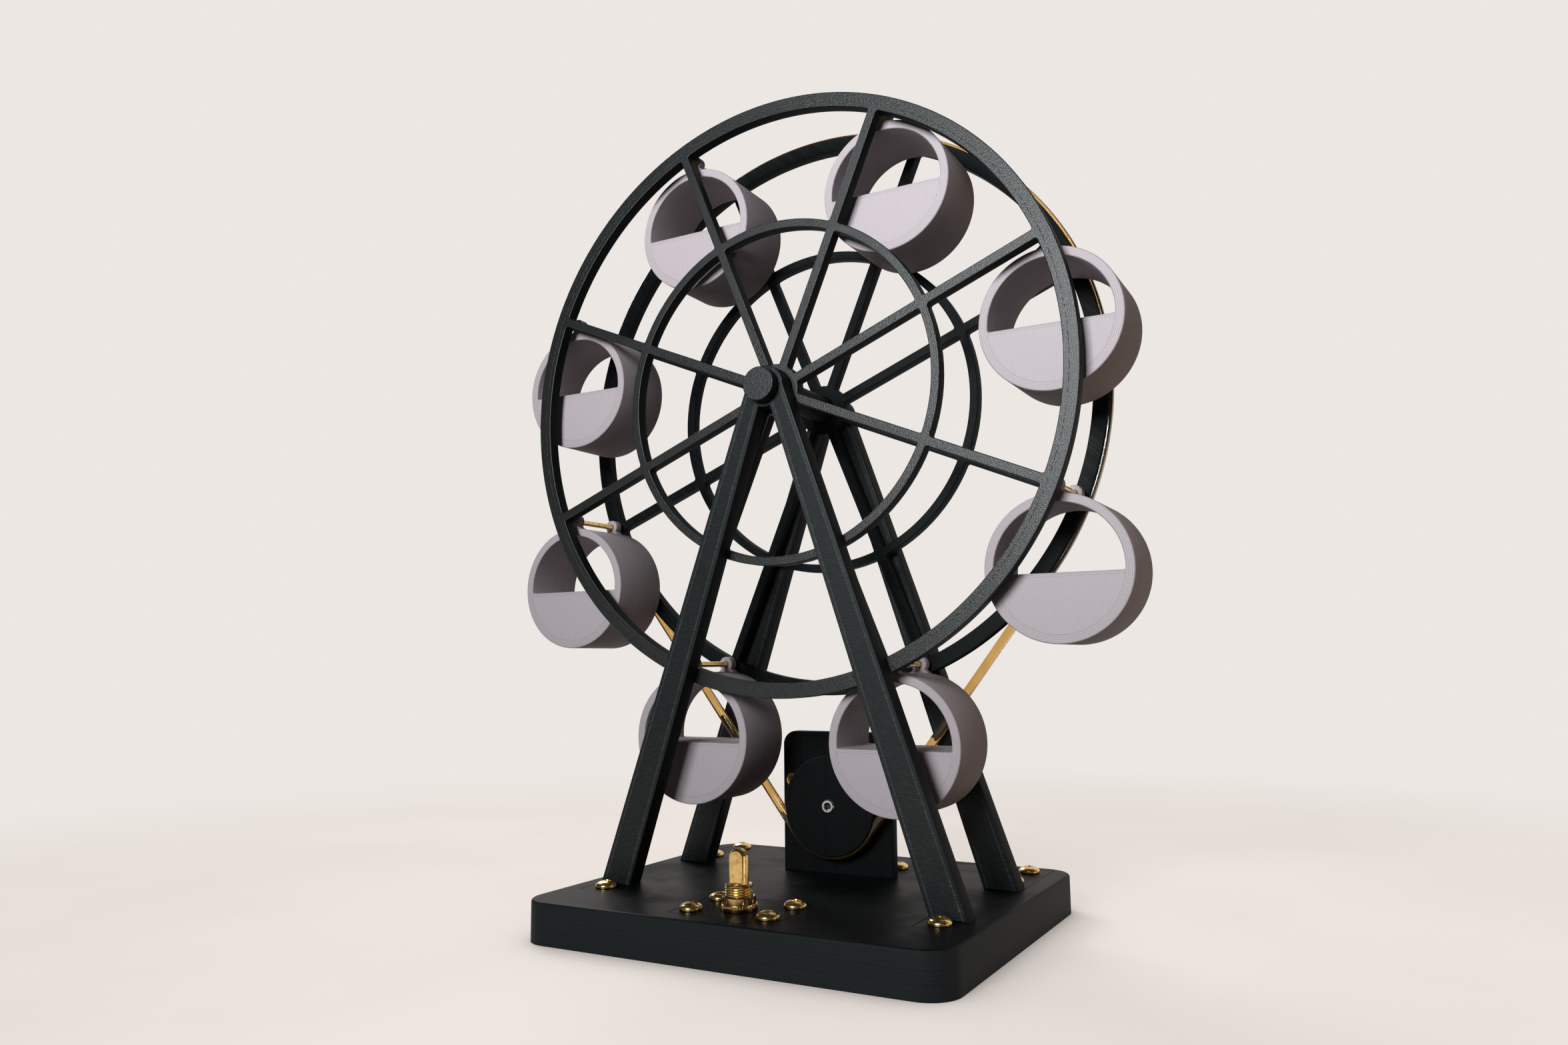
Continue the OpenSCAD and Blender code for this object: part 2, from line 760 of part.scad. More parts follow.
// Inside the base

module battery_pack() {
    corner = battery_h / 2;
    color(wrap_blue) translate([inside_x - (inside_gap + battery_w) / 2, mid_y, cover_t])
        linear_extrude(battery_h) rounded(battery_w, battery_d, corner);
}

module driver_board() {
    color(board_green) translate([inside_x + inside_gap / 2, mid_y - board_d / 2, cover_t]) {
        cube([board_w, board_d, board_t]);
        for (k = [0, 1]) translate([chip_w, board_d * (1 + 3 * k) / 7, board_t])
            cube([chip_w, board_d * 2 / 7, chip_h]);
    }
}

// Screws

module top_screws(places) {
    color(gold) at_each(places) translate([0, 0, base_h]) pan_screw(head_d, head_h, screw_l);
}

module motor_screws() {
    color(gold) for (p = motor_screw_at) translate([p[0], bracket_y, p[1]]) rotate([90, 0, 0])
        pan_screw(small_head_d, small_head_h, bracket_t + 2 * ear_t);
}

module cover_screws() {
    color(gold) at_each(cover_screw_at) flat_screw(0, 0);
}

base_shell();
base_cover();
rear_strip();
control_plate();
front_frame();
rear_frame();
front_wheel();
rear_wheel();
axle();
axle_clip();
belt();
pulley();
motor_shaft();
gearmotor();
motor_bracket();
control_body();
control_bushing();
control_nut();
control_shaft();
battery_pack();
driver_board();
top_screws(foot_screw_at);  // foot_screws
top_screws(strip_screw_at);  // strip_screws
top_screws(bracket_screw_at);  // bracket_screws
top_screws(plate_screw_at);  // plate_screws
motor_screws();
cover_screws();
for (i = [1:seats]) rod(i);
for (i = [1:seats]) cabin(i);
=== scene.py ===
import math
import bpy
from mathutils import Matrix, Vector


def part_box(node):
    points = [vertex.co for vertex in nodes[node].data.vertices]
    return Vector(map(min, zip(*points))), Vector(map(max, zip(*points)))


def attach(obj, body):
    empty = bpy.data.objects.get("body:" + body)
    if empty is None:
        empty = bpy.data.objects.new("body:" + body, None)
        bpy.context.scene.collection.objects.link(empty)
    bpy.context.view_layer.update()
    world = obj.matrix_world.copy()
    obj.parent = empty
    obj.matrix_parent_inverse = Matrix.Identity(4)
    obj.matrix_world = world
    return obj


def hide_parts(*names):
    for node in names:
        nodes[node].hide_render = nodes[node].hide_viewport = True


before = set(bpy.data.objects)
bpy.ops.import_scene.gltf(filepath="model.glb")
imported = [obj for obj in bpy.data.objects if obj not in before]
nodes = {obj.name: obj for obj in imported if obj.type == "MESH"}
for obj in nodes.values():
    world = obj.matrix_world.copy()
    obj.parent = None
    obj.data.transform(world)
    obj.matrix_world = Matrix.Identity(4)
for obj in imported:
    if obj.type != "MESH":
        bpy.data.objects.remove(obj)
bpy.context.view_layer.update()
scene = bpy.context.scene
mm = 0.001
tau = 2 * math.pi
cutOver = 2 * mm           # how far a cutter stands out of what it cuts
nearEnough = 0.01 * mm     # heights this close count as the same
facing = 0.7               # least share of Y in the normal of a front or back
upward = 0.6               # least share of Z in the normal of a top
flatLimit = 0.99999        # least share of Y or Z in the normal of a quite flat face
print("frame loaded,", len(nodes), "nodes")


# places that several pieces share, read from the frame
def middle(node):
    low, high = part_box(node)
    return (low + high) / 2


def depth(node):
    low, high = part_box(node)
    return low.y, high.y


seatNumbers = range(1, 9)
rodPlaces = {i: middle(f"rod_{i}") for i in seatNumbers}
hubPlace = middle("axle")
hubAxis = (hubPlace.x, 0, hubPlace.z)
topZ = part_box("base_shell")[1].z
wheelRadius = (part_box("front_wheel")[1].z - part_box("front_wheel")[0].z) / 2
firstSpoke = math.atan2(rodPlaces[1].z - hubPlace.z, rodPlaces[1].x)
seatStep = tau / len(seatNumbers)


# small helpers for working as by hand
def freshStart():
    if bpy.context.mode != "OBJECT":
        bpy.ops.object.mode_set(mode="OBJECT")
    bpy.ops.object.select_all(action="DESELECT")


def pickOnly(piece):
    freshStart()
    piece.select_set(True)
    bpy.context.view_layer.objects.active = piece


def applyPlace(piece):
    pickOnly(piece)
    bpy.ops.object.transform_apply(location=True, rotation=True, scale=True)


def cleanMesh(piece, gap=0.004 * mm):
    pickOnly(piece)
    bpy.ops.object.mode_set(mode="EDIT")
    bpy.ops.mesh.select_all(action="SELECT")
    bpy.ops.mesh.remove_doubles(threshold=gap)
    bpy.ops.mesh.normals_make_consistent(inside=False)
    bpy.ops.object.mode_set(mode="OBJECT")


def smoothEdges(piece, angle=32):
    # flat faces stay flat right up to their edges
    pickOnly(piece)
    bpy.ops.object.shade_smooth_by_angle(angle=math.radians(angle))
    level = {}
    for face in piece.data.polygons:
        flat = max(abs(face.normal.y), abs(face.normal.z)) > flatLimit
        for key in face.edge_keys:
            level.setdefault(key, set()).add(flat)
    for edge in piece.data.edges:
        if len(level.get(edge.key, ())) == 2:
            edge.use_edge_sharp = True


def joinInto(main, others):
    pickOnly(main)
    for other in others:
        other.select_set(True)
    bpy.ops.object.join()
    return main


def copyTo(piece, name, place):
    twin = piece.copy()
    twin.data = piece.data.copy()
    twin.name = name
    scene.collection.objects.link(twin)
    twin.data.transform(Matrix.Translation(place))
    return twin


def useModifier(piece, kind, **settings):
    pickOnly(piece)
    mod = piece.modifiers.new(kind.lower(), kind)
    for key, value in settings.items():
        setattr(mod, key, value)
    bpy.ops.object.modifier_apply(modifier=mod.name)


def cutWith(piece, cutter):
    useModifier(piece, "BOOLEAN", operation="DIFFERENCE", solver="EXACT", object=cutter)
    bpy.data.objects.remove(cutter)


def addBlock(name, low, high):
    freshStart()
    low, high = Vector(low), Vector(high)
    bpy.ops.mesh.primitive_cube_add(size=1, location=(low + high) / 2)
    block = bpy.context.object
    block.name = name
    block.scale = high - low
    applyPlace(block)
    return block


def bevelEdges(piece, width, segments, test):
    # bevels the edges whose two end points pass the test
    pickOnly(piece)
    bpy.ops.object.mode_set(mode="EDIT")
    bpy.ops.mesh.select_all(action="DESELECT")
    bpy.ops.object.mode_set(mode="OBJECT")
    points = piece.data.vertices
    for edge in piece.data.edges:
        edge.select = test(points[edge.vertices[0]].co, points[edge.vertices[1]].co)
    bpy.ops.object.mode_set(mode="EDIT")
    bpy.ops.mesh.select_mode(type="EDGE")
    bpy.ops.mesh.bevel(offset=width, segments=segments, profile=0.5, affect="EDGES")
    bpy.ops.object.mode_set(mode="OBJECT")


def upperEdge(height):
    return lambda a, b: min(a.z, b.z) > height - nearEnough


def uprightEdge(a, b):
    return abs(a.z - b.z) > 1 * mm


# outlines are lists of (x, z); the outside runs anticlockwise and holes clockwise
def arc(x, z, radius, start, end, steps):
    return [(x + radius * math.cos(start + (end - start) * k / steps),
             z + radius * math.sin(start + (end - start) * k / steps)) for k in range(steps + 1)]


def ringOutline(x, z, radius, steps, hole=False):
    points = arc(x, z, radius, 0, tau, steps)[:-1]
    return points[::-1] if hole else points


def softCorners(outline, radius, steps=5, sharp=25):
    # rounds the corners that turn by more than the sharp angle
    most = 0.49     # share of a side that one corner may take
    rounded = []
    count = len(outline)
    for k, corner in enumerate(outline):
        here = Vector(corner)
        before = Vector(outline[k - 1]) - here
        after = Vector(outline[(k + 1) % count]) - here
        turn = math.pi - before.angle(after)
        if turn < math.radians(sharp):
            rounded.append(corner)
            continue
        reach = radius * math.tan(turn / 2)
        first = here + before.normalized() * min(reach, before.length * most)
        last = here + after.normalized() * min(reach, after.length * most)
        for n in range(steps + 1):
            t = n / steps
            spot = first * (1 - t) ** 2 + here * 2 * t * (1 - t) + last * t ** 2
            rounded.append(tuple(spot))
    return rounded


def cutPlate(name, outlines, yFront, yBack, edge):
    # a flat plate in X and Z with eased edges
    curve = bpy.data.curves.new(name, "CURVE")
    curve.dimensions = "2D"
    curve.fill_mode = "BOTH"
    curve.extrude = (yBack - yFront) / 2 - edge
    curve.bevel_depth = edge
    curve.bevel_resolution = 2
    curve.offset = -edge
    for outline in outlines:
        spline = curve.splines.new("POLY")
        spline.points.add(len(outline) - 1)
        spline.use_cyclic_u = True
        for point, (x, z) in zip(spline.points, outline):
            point.co = (x, z, 0, 1)
    plate = bpy.data.objects.new(name, curve)
    scene.collection.objects.link(plate)
    plate.rotation_euler = (math.pi / 2, 0, 0)
    plate.location = (0, (yFront + yBack) / 2, 0)
    pickOnly(plate)
    bpy.ops.object.convert(target="MESH")
    plate = bpy.context.object
    applyPlace(plate)
    cleanMesh(plate)
    while plate.data.uv_layers:
        plate.data.uv_layers.remove(plate.data.uv_layers[0])
    return plate


def turnProfile(name, profile, steps, place, alongY=True):
    # spins a half outline of (radius, height) round an axis through place
    freshStart()
    mesh = bpy.data.meshes.new(name)
    links = [(k, k + 1) for k in range(len(profile) - 1)]
    mesh.from_pydata([(r, 0, h) for r, h in profile], links, [])
    piece = bpy.data.objects.new(name, mesh)
    scene.collection.objects.link(piece)
    pickOnly(piece)
    bpy.ops.object.mode_set(mode="EDIT")
    bpy.ops.mesh.select_all(action="SELECT")
    bpy.ops.mesh.spin(steps=steps, angle=tau, center=(0, 0, 0), axis=(0, 0, 1))
    bpy.ops.object.mode_set(mode="OBJECT")
    if alongY:
        piece.data.transform(Matrix.Rotation(-math.pi / 2, 4, "X"))
    piece.data.transform(Matrix.Translation(place))
    cleanMesh(piece)
    return piece


def easedEdge(radius, height, ease, side, bow=None):
    # points round an outer edge of a turned piece; side is 1 at its start and -1 at its end
    points = [(radius - ease, height), (radius, height + side * ease)]
    if bow:
        points.insert(1, (radius - bow * ease, height + side * bow * ease))
    return points[::side]


def paintFaces(piece, materials, choose):
    piece.data.materials.clear()
    for material in materials:
        piece.data.materials.append(material)
    for face in piece.data.polygons:
        face.material_index = choose(face)


def frontWallBack(face):
    return 0 if face.normal.y < -facing else 2 if face.normal.y > facing else 1


def faceOrWall(face):
    return 0 if abs(face.normal.y) > facing else 1


def topOrWall(face):
    return 0 if face.normal.z > upward else 1


def standFor(piece, slot, body, *replaced):
    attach(piece, body)
    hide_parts(*replaced)


# shader groups shared by the materials
def newGroup(name, inputs, outputs):
    group = bpy.data.node_groups.new(name, "ShaderNodeTree")
    for label, kind, value in inputs:
        socket = group.interface.new_socket(label, in_out="INPUT", socket_type=kind)
        socket.default_value = value
    for label, kind in outputs:
        group.interface.new_socket(label, in_out="OUTPUT", socket_type=kind)
    return group, group.nodes.new("NodeGroupInput"), group.nodes.new("NodeGroupOutput")


def mathNode(tree, operation, a, b=None, c=None):
    node = tree.nodes.new("ShaderNodeMath")
    node.operation = operation
    for socket, value in zip(node.inputs, (a, b, c)):
        if value is None:
            continue
        if isinstance(value, (int, float)):
            socket.default_value = value
        else:
            tree.links.new(value, socket)
    return node.outputs[0]


def vectorNode(tree, operation, a, b=None):
    node = tree.nodes.new("ShaderNodeVectorMath")
    node.operation = operation
    for socket, value in zip(node.inputs, (a, b)):
        if value is None:
            continue
        if isinstance(value, (tuple, list, Vector)):
            socket.default_value = value
        else:
            tree.links.new(value, socket)
    return node.outputs["Value"] if operation in ("DOT_PRODUCT", "LENGTH") else node.outputs[0]


def noiseNode(tree, vector, scale, detail=2.0, rough=0.5):
    node = tree.nodes.new("ShaderNodeTexNoise")
    node.inputs["Scale"].default_value = scale
    node.inputs["Detail"].default_value = detail
    node.inputs["Roughness"].default_value = rough
    tree.links.new(vector, node.inputs["Vector"])
    return node.outputs["Fac"]


def rangeNode(tree, value, low, high, toLow=0.0, toHigh=1.0):
    node = tree.nodes.new("ShaderNodeMapRange")
    node.interpolation_type = "SMOOTHSTEP"
    labels = ("From Min", "From Max", "To Min", "To Max")
    for label, number in zip(labels, (low, high, toLow, toHigh)):
        node.inputs[label].default_value = number
    tree.links.new(value, node.inputs["Value"])
    return node.outputs["Result"]


def mixValue(tree, mask, first, second):
    node = tree.nodes.new("ShaderNodeMix")
    for number, value in ((0, mask), (2, first), (3, second)):
        tree.links.new(value, node.inputs[number])
    return node.outputs[0]


def mixColor(tree, factor, first, second):
    node = tree.nodes.new("ShaderNodeMix")
    node.data_type = "RGBA"
    for label, value in (("Factor_Float", factor), ("A_Color", first), ("B_Color", second)):
        socket = next(s for s in node.inputs if s.identifier == label)
        if isinstance(value, (int, float)):
            socket.default_value = value
        elif isinstance(value, (tuple, list)):
            socket.default_value = (*value, 1)
        else:
            tree.links.new(value, socket)
    return next(s for s in node.outputs if s.identifier == "Result_Color")


def buildPrintLines():
    # rows of a printed surface: Place is a distance in metres across the rows
    group, given, result = newGroup(
        "printLines",
        [("Place", "NodeSocketFloat", 0.0), ("Vector", "NodeSocketVector", (0, 0, 0)),
         ("Pitch", "NodeSocketFloat", 0.0002), ("Wander", "NodeSocketFloat", 0.15)],
        [("Height", "NodeSocketFloat"), ("Tone", "NodeSocketFloat")])
    rows = mathNode(group, "DIVIDE", given.outputs["Place"], given.outputs["Pitch"])
    drift = mathNode(group, "SUBTRACT", noiseNode(group, given.outputs["Vector"], 260.0, 3.0), 0.5)
    drift = mathNode(group, "MULTIPLY", drift, given.outputs["Wander"])
    rows = mathNode(group, "ADD", rows, mathNode(group, "MULTIPLY", drift, 4.0))
    wave = mathNode(group, "PINGPONG", rows, 0.5)
    height = rangeNode(group, wave, 0.0, 0.36)
    each = group.nodes.new("ShaderNodeTexWhiteNoise")
    each.noise_dimensions = "1D"
    group.links.new(mathNode(group, "FLOOR", rows), each.inputs["W"])
    group.links.new(height, result.inputs["Height"])
    group.links.new(each.outputs["Value"], result.inputs["Tone"])
    return group


def buildPlateGrain():
    # random pebbled skin that a textured print bed leaves
    group, given, result = newGroup(
        "plateGrain",
        [("Vector", "NodeSocketVector", (0, 0, 0)), ("Scale", "NodeSocketFloat", 2600.0)],
        [("Height", "NodeSocketFloat"), ("Fleck", "NodeSocketFloat")])
    fine = group.nodes.new("ShaderNodeTexNoise")
    fine.inputs["Detail"].default_value = 2.5
    fine.inputs["Roughness"].default_value = 0.62
    pits = group.nodes.new("ShaderNodeTexVoronoi")
    for pattern in (fine, pits):
        for label in ("Vector", "Scale"):
            group.links.new(given.outputs[label], pattern.inputs[label])
    mixed = mathNode(group, "MULTIPLY_ADD", pits.outputs["Distance"], -0.5, fine.outputs["Fac"])
    group.links.new(rangeNode(group, mixed, 0.0, 0.55), result.inputs["Height"])
    group.links.new(rangeNode(group, fine.outputs["Fac"], 0.5, 0.68), result.inputs["Fleck"])
    return group


def buildDust():
    # scattered pale specks and soft smudges
    group, given, result = newGroup(
        "dust",
        [("Vector", "NodeSocketVector", (0, 0, 0)), ("Amount", "NodeSocketFloat", 0.5)],
        [("Specks", "NodeSocketFloat"), ("Smudge", "NodeSocketFloat")])
    cells = group.nodes.new("ShaderNodeTexVoronoi")
    cells.inputs["Scale"].default_value = 620.0
    group.links.new(given.outputs["Vector"], cells.inputs["Vector"])
    dots = rangeNode(group, cells.outputs["Distance"], 0.05, 0.11, 1.0, 0.0)
    pick = group.nodes.new("ShaderNodeSeparateColor")
    group.links.new(cells.outputs["Color"], pick.inputs["Color"])
    share = mathNode(group, "MULTIPLY", given.outputs["Amount"], 0.08)
    chosen = mathNode(group, "LESS_THAN", pick.outputs["Red"], share)
    cloud = noiseNode(group, given.outputs["Vector"], 38.0, 4.0)
    group.links.new(mathNode(group, "MULTIPLY", dots, chosen), result.inputs["Specks"])
    group.links.new(rangeNode(group, cloud, 0.35, 0.75), result.inputs["Smudge"])
    return group


printLines = buildPrintLines()
plateGrain = buildPlateGrain()
dust = buildDust()
print("shader groups ready")


def startMaterial(name, **plain):
    material = bpy.data.materials.new(name)
    material.use_nodes = True
    tree = material.node_tree
    shader = tree.nodes["Principled BSDF"]
    for label, value in plain.items():
        shader.inputs[label.replace("_", " ")].default_value = value
    return material, tree, shader, tree.nodes.new("ShaderNodeTexCoord").outputs


def feedShader(tree, shader, **sources):
    for label, source in sources.items():
        tree.links.new(source, shader.inputs[label.replace("_", " ")])


def useGroup(tree, group, **values):
    node = tree.nodes.new("ShaderNodeGroup")
    node.node_tree = group
    for label, value in values.items():
        if isinstance(value, (int, float)):
            node.inputs[label].default_value = value
        else:
            tree.links.new(value, node.inputs[label])
    return node.outputs


def printRows(tree, coords, place, pitch, wander):
    return useGroup(tree, printLines, Place=place, Vector=coords["Object"], Pitch=pitch, Wander=wander)


def bumpFrom(tree, shader, height, strength, distance):
    node = tree.nodes.new("ShaderNodeBump")
    node.inputs["Strength"].default_value = strength
    node.inputs["Distance"].default_value = distance
    tree.links.new(height, node.inputs["Height"])
    tree.links.new(node.outputs["Normal"], shader.inputs["Normal"])


charcoal = {
    "deep": (0.0040, 0.0051, 0.0055),   # shaded plastic
    "wornAndSheen": (0.0135, 0.0175, 0.019),    # lighter plastic: painted sheen on raised grain and track ridges, also the tone of lighter rows and smudges
    "pale": (0.10, 0.125, 0.135),       # brightest flecks
    "crack": (0.001, 0.001, 0.001),     # broken line between two passes
    "dust": (0.42, 0.42, 0.43),
    "layer": 0.2 * mm,
    "track": 0.44 * mm,
    "grain": 2600.0,                    # scale of the pebbles that the print bed leaves
    "grainGloss": 0.42,
    "grainMatt": (0.40, 0.28),          # roughness in the pits and on the pebbles
    "grainDepth": 0.045 * mm,
    "wallMatt": (0.54, 0.68),
    "trackMatt": (0.40, 0.52),
    "topGloss": 0.035,
    "topMatt": (0.40, 0.55),            # clean and smudged
}

# broken line round the front rim
rimSeam = {
    "radius": 101.7 * mm,
    "wander": 0.7 * mm,
    "wobble": 900.0,
    "width": (0.04 * mm, 0.16 * mm),    # full inside the first, gone at the second
    "strength": 0.6,
    "breaks": 1100.0,
    "depth": 1.5,                       # in heights of the grain
}


def charcoalGrain(name, seam=None):
    # faces printed against the textured bed
    material, tree, shader, coords = startMaterial(name, Specular_IOR_Level=charcoal["grainGloss"])
    grain = useGroup(tree, plateGrain, Vector=coords["Object"], Scale=charcoal["grain"])
    # raised flecks of the bed grain get the lighter colour: painted sparkle
    tone = mixColor(tree, grain["Fleck"], charcoal["deep"], charcoal["wornAndSheen"])
    matt = rangeNode(tree, grain["Height"], 0.0, 1.0, *charcoal["grainMatt"])
    height = grain["Height"]
    if seam:
        spoke = vectorNode(tree, "SUBTRACT", coords["Object"], hubPlace)
        spoke = vectorNode(tree, "MULTIPLY", spoke, (1, 0, 1))
        wobble = mathNode(tree, "SUBTRACT", noiseNode(tree, coords["Object"], seam["wobble"], 2.0), 0.5)
        off = mathNode(tree, "SUBTRACT", vectorNode(tree, "LENGTH", spoke), seam["radius"])
        off = mathNode(tree, "ABSOLUTE", mathNode(tree, "MULTIPLY_ADD", wobble, seam["wander"], off))
        line = rangeNode(tree, off, *seam["width"], seam["strength"], 0.0)
        broken = rangeNode(tree, noiseNode(tree, coords["Object"], seam["breaks"], 1.0), 0.44, 0.56)
        crack = mathNode(tree, "MULTIPLY", line, broken)
        tone = mixColor(tree, crack, tone, charcoal["crack"])
        matt = mathNode(tree, "MAXIMUM", matt, crack)
        height = mathNode(tree, "SUBTRACT", height, mathNode(tree, "MULTIPLY", crack, seam["depth"]))
    feedShader(tree, shader, Base_Color=tone, Roughness=matt)
    bumpFrom(tree, shader, height, 0.8, charcoal["grainDepth"])
    return material


def charcoalSide(name, direction, pitch=charcoal["layer"], strength=0.35, rough=charcoal["wallMatt"],
                 shine=0.06, streak=0.45, lift=1.0):
    # faces that show stacked layers or tracks, counted along the direction
    material, tree, shader, coords = startMaterial(name, Specular_IOR_Level=shine)
    place = vectorNode(tree, "DOT_PRODUCT", coords["Object"], direction)
    rows = printRows(tree, coords, place, pitch, 0.12)
    # a lift above 1 brightens both colours: painted light
    deep, wornAndSheen = (tuple(lift * c for c in charcoal[k]) for k in ("deep", "wornAndSheen"))
    tone = mixColor(tree, mathNode(tree, "MULTIPLY", rows["Tone"], streak), deep, wornAndSheen)
    matt = rangeNode(tree, rows["Tone"], 0.0, 1.0, *rough)
    feedShader(tree, shader, Base_Color=tone, Roughness=matt)
    bumpFrom(tree, shader, rows["Height"], strength, 0.02 * mm)
    return material


hatch = math.radians(45)
grainSkin = charcoalGrain("charcoalBedGrain")
rimSkin = charcoalGrain("charcoalRimGrain", rimSeam)
wheelWall = charcoalSide("charcoalWallY", (0, 1, 0))
# lift 2.8 makes the base's walls lighter than the rest of the charcoal: painted light on the walls
baseWall = charcoalSide("charcoalWallZ", (0, 0, 1), strength=0.12, rough=(0.6, 0.66),
                        shine=0.12, streak=0.25, lift=2.8)
hatchSkin = charcoalSide("charcoalHatch", (math.cos(hatch), 0, math.sin(hatch)), charcoal["track"],
                         0.55, charcoal["trackMatt"])
plainSkin = charcoalSide("charcoalPlain", (1, 0, 0), charcoal["track"],
                         0.1, charcoal["trackMatt"], streak=0.12)

# front faces of the legs
legLook = {
    "gloss": 0.23,
    "matt": (0.46, 0.34),
    "border": (1.15 * mm, 1.3 * mm),        # tracks along the edge end here and the filling starts
    "stitch": 1.45 * mm,                    # pale turns of the filling, this far from the edge
    "stitchWidth": (0.12 * mm, 0.36 * mm),
    "dashes": 2300.0,
    "dashStretch": (0.28, 1.0, 1.0),        # dashes are long in X
    "depth": 0.03 * mm,
}


def legFaceMaterial(name, outer, inner):
    # outer and inner are the two edge lines of the right leg, each (x, z, normal x, normal z)
    material, tree, shader, coords = startMaterial(name, Specular_IOR_Level=legLook["gloss"])
    split = tree.nodes.new("ShaderNodeSeparateXYZ")
    tree.links.new(coords["Object"], split.inputs["Vector"])
    side = mathNode(tree, "ABSOLUTE", split.outputs["X"])

    def fromEdge(line):
        x, z, nx, nz = line
        across = mathNode(tree, "MULTIPLY", mathNode(tree, "SUBTRACT", side, x), nx)
        up = mathNode(tree, "MULTIPLY", mathNode(tree, "SUBTRACT", split.outputs["Z"], z), nz)
        return mathNode(tree, "ADD", across, up)

    gap = mathNode(tree, "MINIMUM", fromEdge(outer), fromEdge(inner))
    border = rangeNode(tree, gap, *legLook["border"], 1.0, 0.0)
    edgeRows = printRows(tree, coords, gap, charcoal["track"], 0.05)["Height"]
    fillRows = printRows(tree, coords, split.outputs["Z"], charcoal["track"], 0.08)["Height"]
    rows = mixValue(tree, border, fillRows, edgeRows)
    fromStitch = mathNode(tree, "ABSOLUTE", mathNode(tree, "SUBTRACT", gap, legLook["stitch"]))
    stitch = rangeNode(tree, fromStitch, *legLook["stitchWidth"], 1.0, 0.0)
    long = tree.nodes.new("ShaderNodeMapping")
    long.inputs["Scale"].default_value = legLook["dashStretch"]
    tree.links.new(coords["Object"], long.inputs["Vector"])
    dashes = rangeNode(tree, noiseNode(tree, long.outputs["Vector"], legLook["dashes"], 1.0), 0.5, 0.66)
    patchy = mathNode(tree, "MULTIPLY_ADD", dashes, 0.6, 0.4)
    dots = mathNode(tree, "MAXIMUM", mathNode(tree, "MULTIPLY", stitch, patchy),
                    mathNode(tree, "MULTIPLY", dashes, 0.12))
    dots = mathNode(tree, "MULTIPLY", dots, fillRows)
    grain = useGroup(tree, plateGrain, Vector=coords["Object"], Scale=charcoal["grain"])
    # raised flecks and the ridges of the tracks get the lighter colour: painted sheen
    light = mathNode(tree, "MULTIPLY", mathNode(tree, "ADD", grain["Fleck"], rows), 0.5)
    tone = mixColor(tree, light, charcoal["deep"], charcoal["wornAndSheen"])
    tone = mixColor(tree, mathNode(tree, "MULTIPLY", dots, 0.8), tone, charcoal["pale"])
    matt = rangeNode(tree, rows, 0.0, 1.0, *legLook["matt"])
    feedShader(tree, shader, Base_Color=tone, Roughness=matt)
    height = mathNode(tree, "MULTIPLY_ADD", grain["Height"], 0.35, rows)
    bumpFrom(tree, shader, height, 0.5, legLook["depth"])
    return material


def baseTopMaterial(name):
    # dusty, with faint diagonal tracks
    material, tree, shader, coords = startMaterial(name, Specular_IOR_Level=charcoal["topGloss"])
    film = useGroup(tree, dust, Vector=coords["Object"], Amount=1.0)
    diagonal = vectorNode(tree, "DOT_PRODUCT", coords["Object"], (0.707, 0.707, 0))
    rows = printRows(tree, coords, diagonal, charcoal["track"], 0.1)
    smudge = mathNode(tree, "MULTIPLY", film["Smudge"], 0.35)
    tone = mixColor(tree, smudge, charcoal["deep"], charcoal["wornAndSheen"])
    tone = mixColor(tree, mathNode(tree, "MULTIPLY", film["Specks"], 0.8), tone, charcoal["dust"])
    matt = rangeNode(tree, film["Smudge"], 0.0, 1.0, *charcoal["topMatt"])
    feedShader(tree, shader, Base_Color=tone, Roughness=matt)
    bumpFrom(tree, shader, rows["Height"], 0.12, 0.04 * mm)
    return material


baseTop = baseTopMaterial("charcoalBaseTop")

lilac = {
    "body": (0.515, 0.450, 0.476),
    "groove": (0.335, 0.290, 0.312),
    "light": (0.60, 0.53, 0.555),
    "track": 0.6 * mm,
    "layer": 0.2 * mm,
    "ledge": 1.5 * mm,                  # height of the level tracks under the window
    "step": 0.05 * mm,                  # half the width in which one kind of track gives way to the next
    "stitch": (0.12 * mm, 0.3 * mm),
    "grain": 2800.0,
    "depth": 0.06 * mm,
    "wallDepth": 0.05 * mm,
}


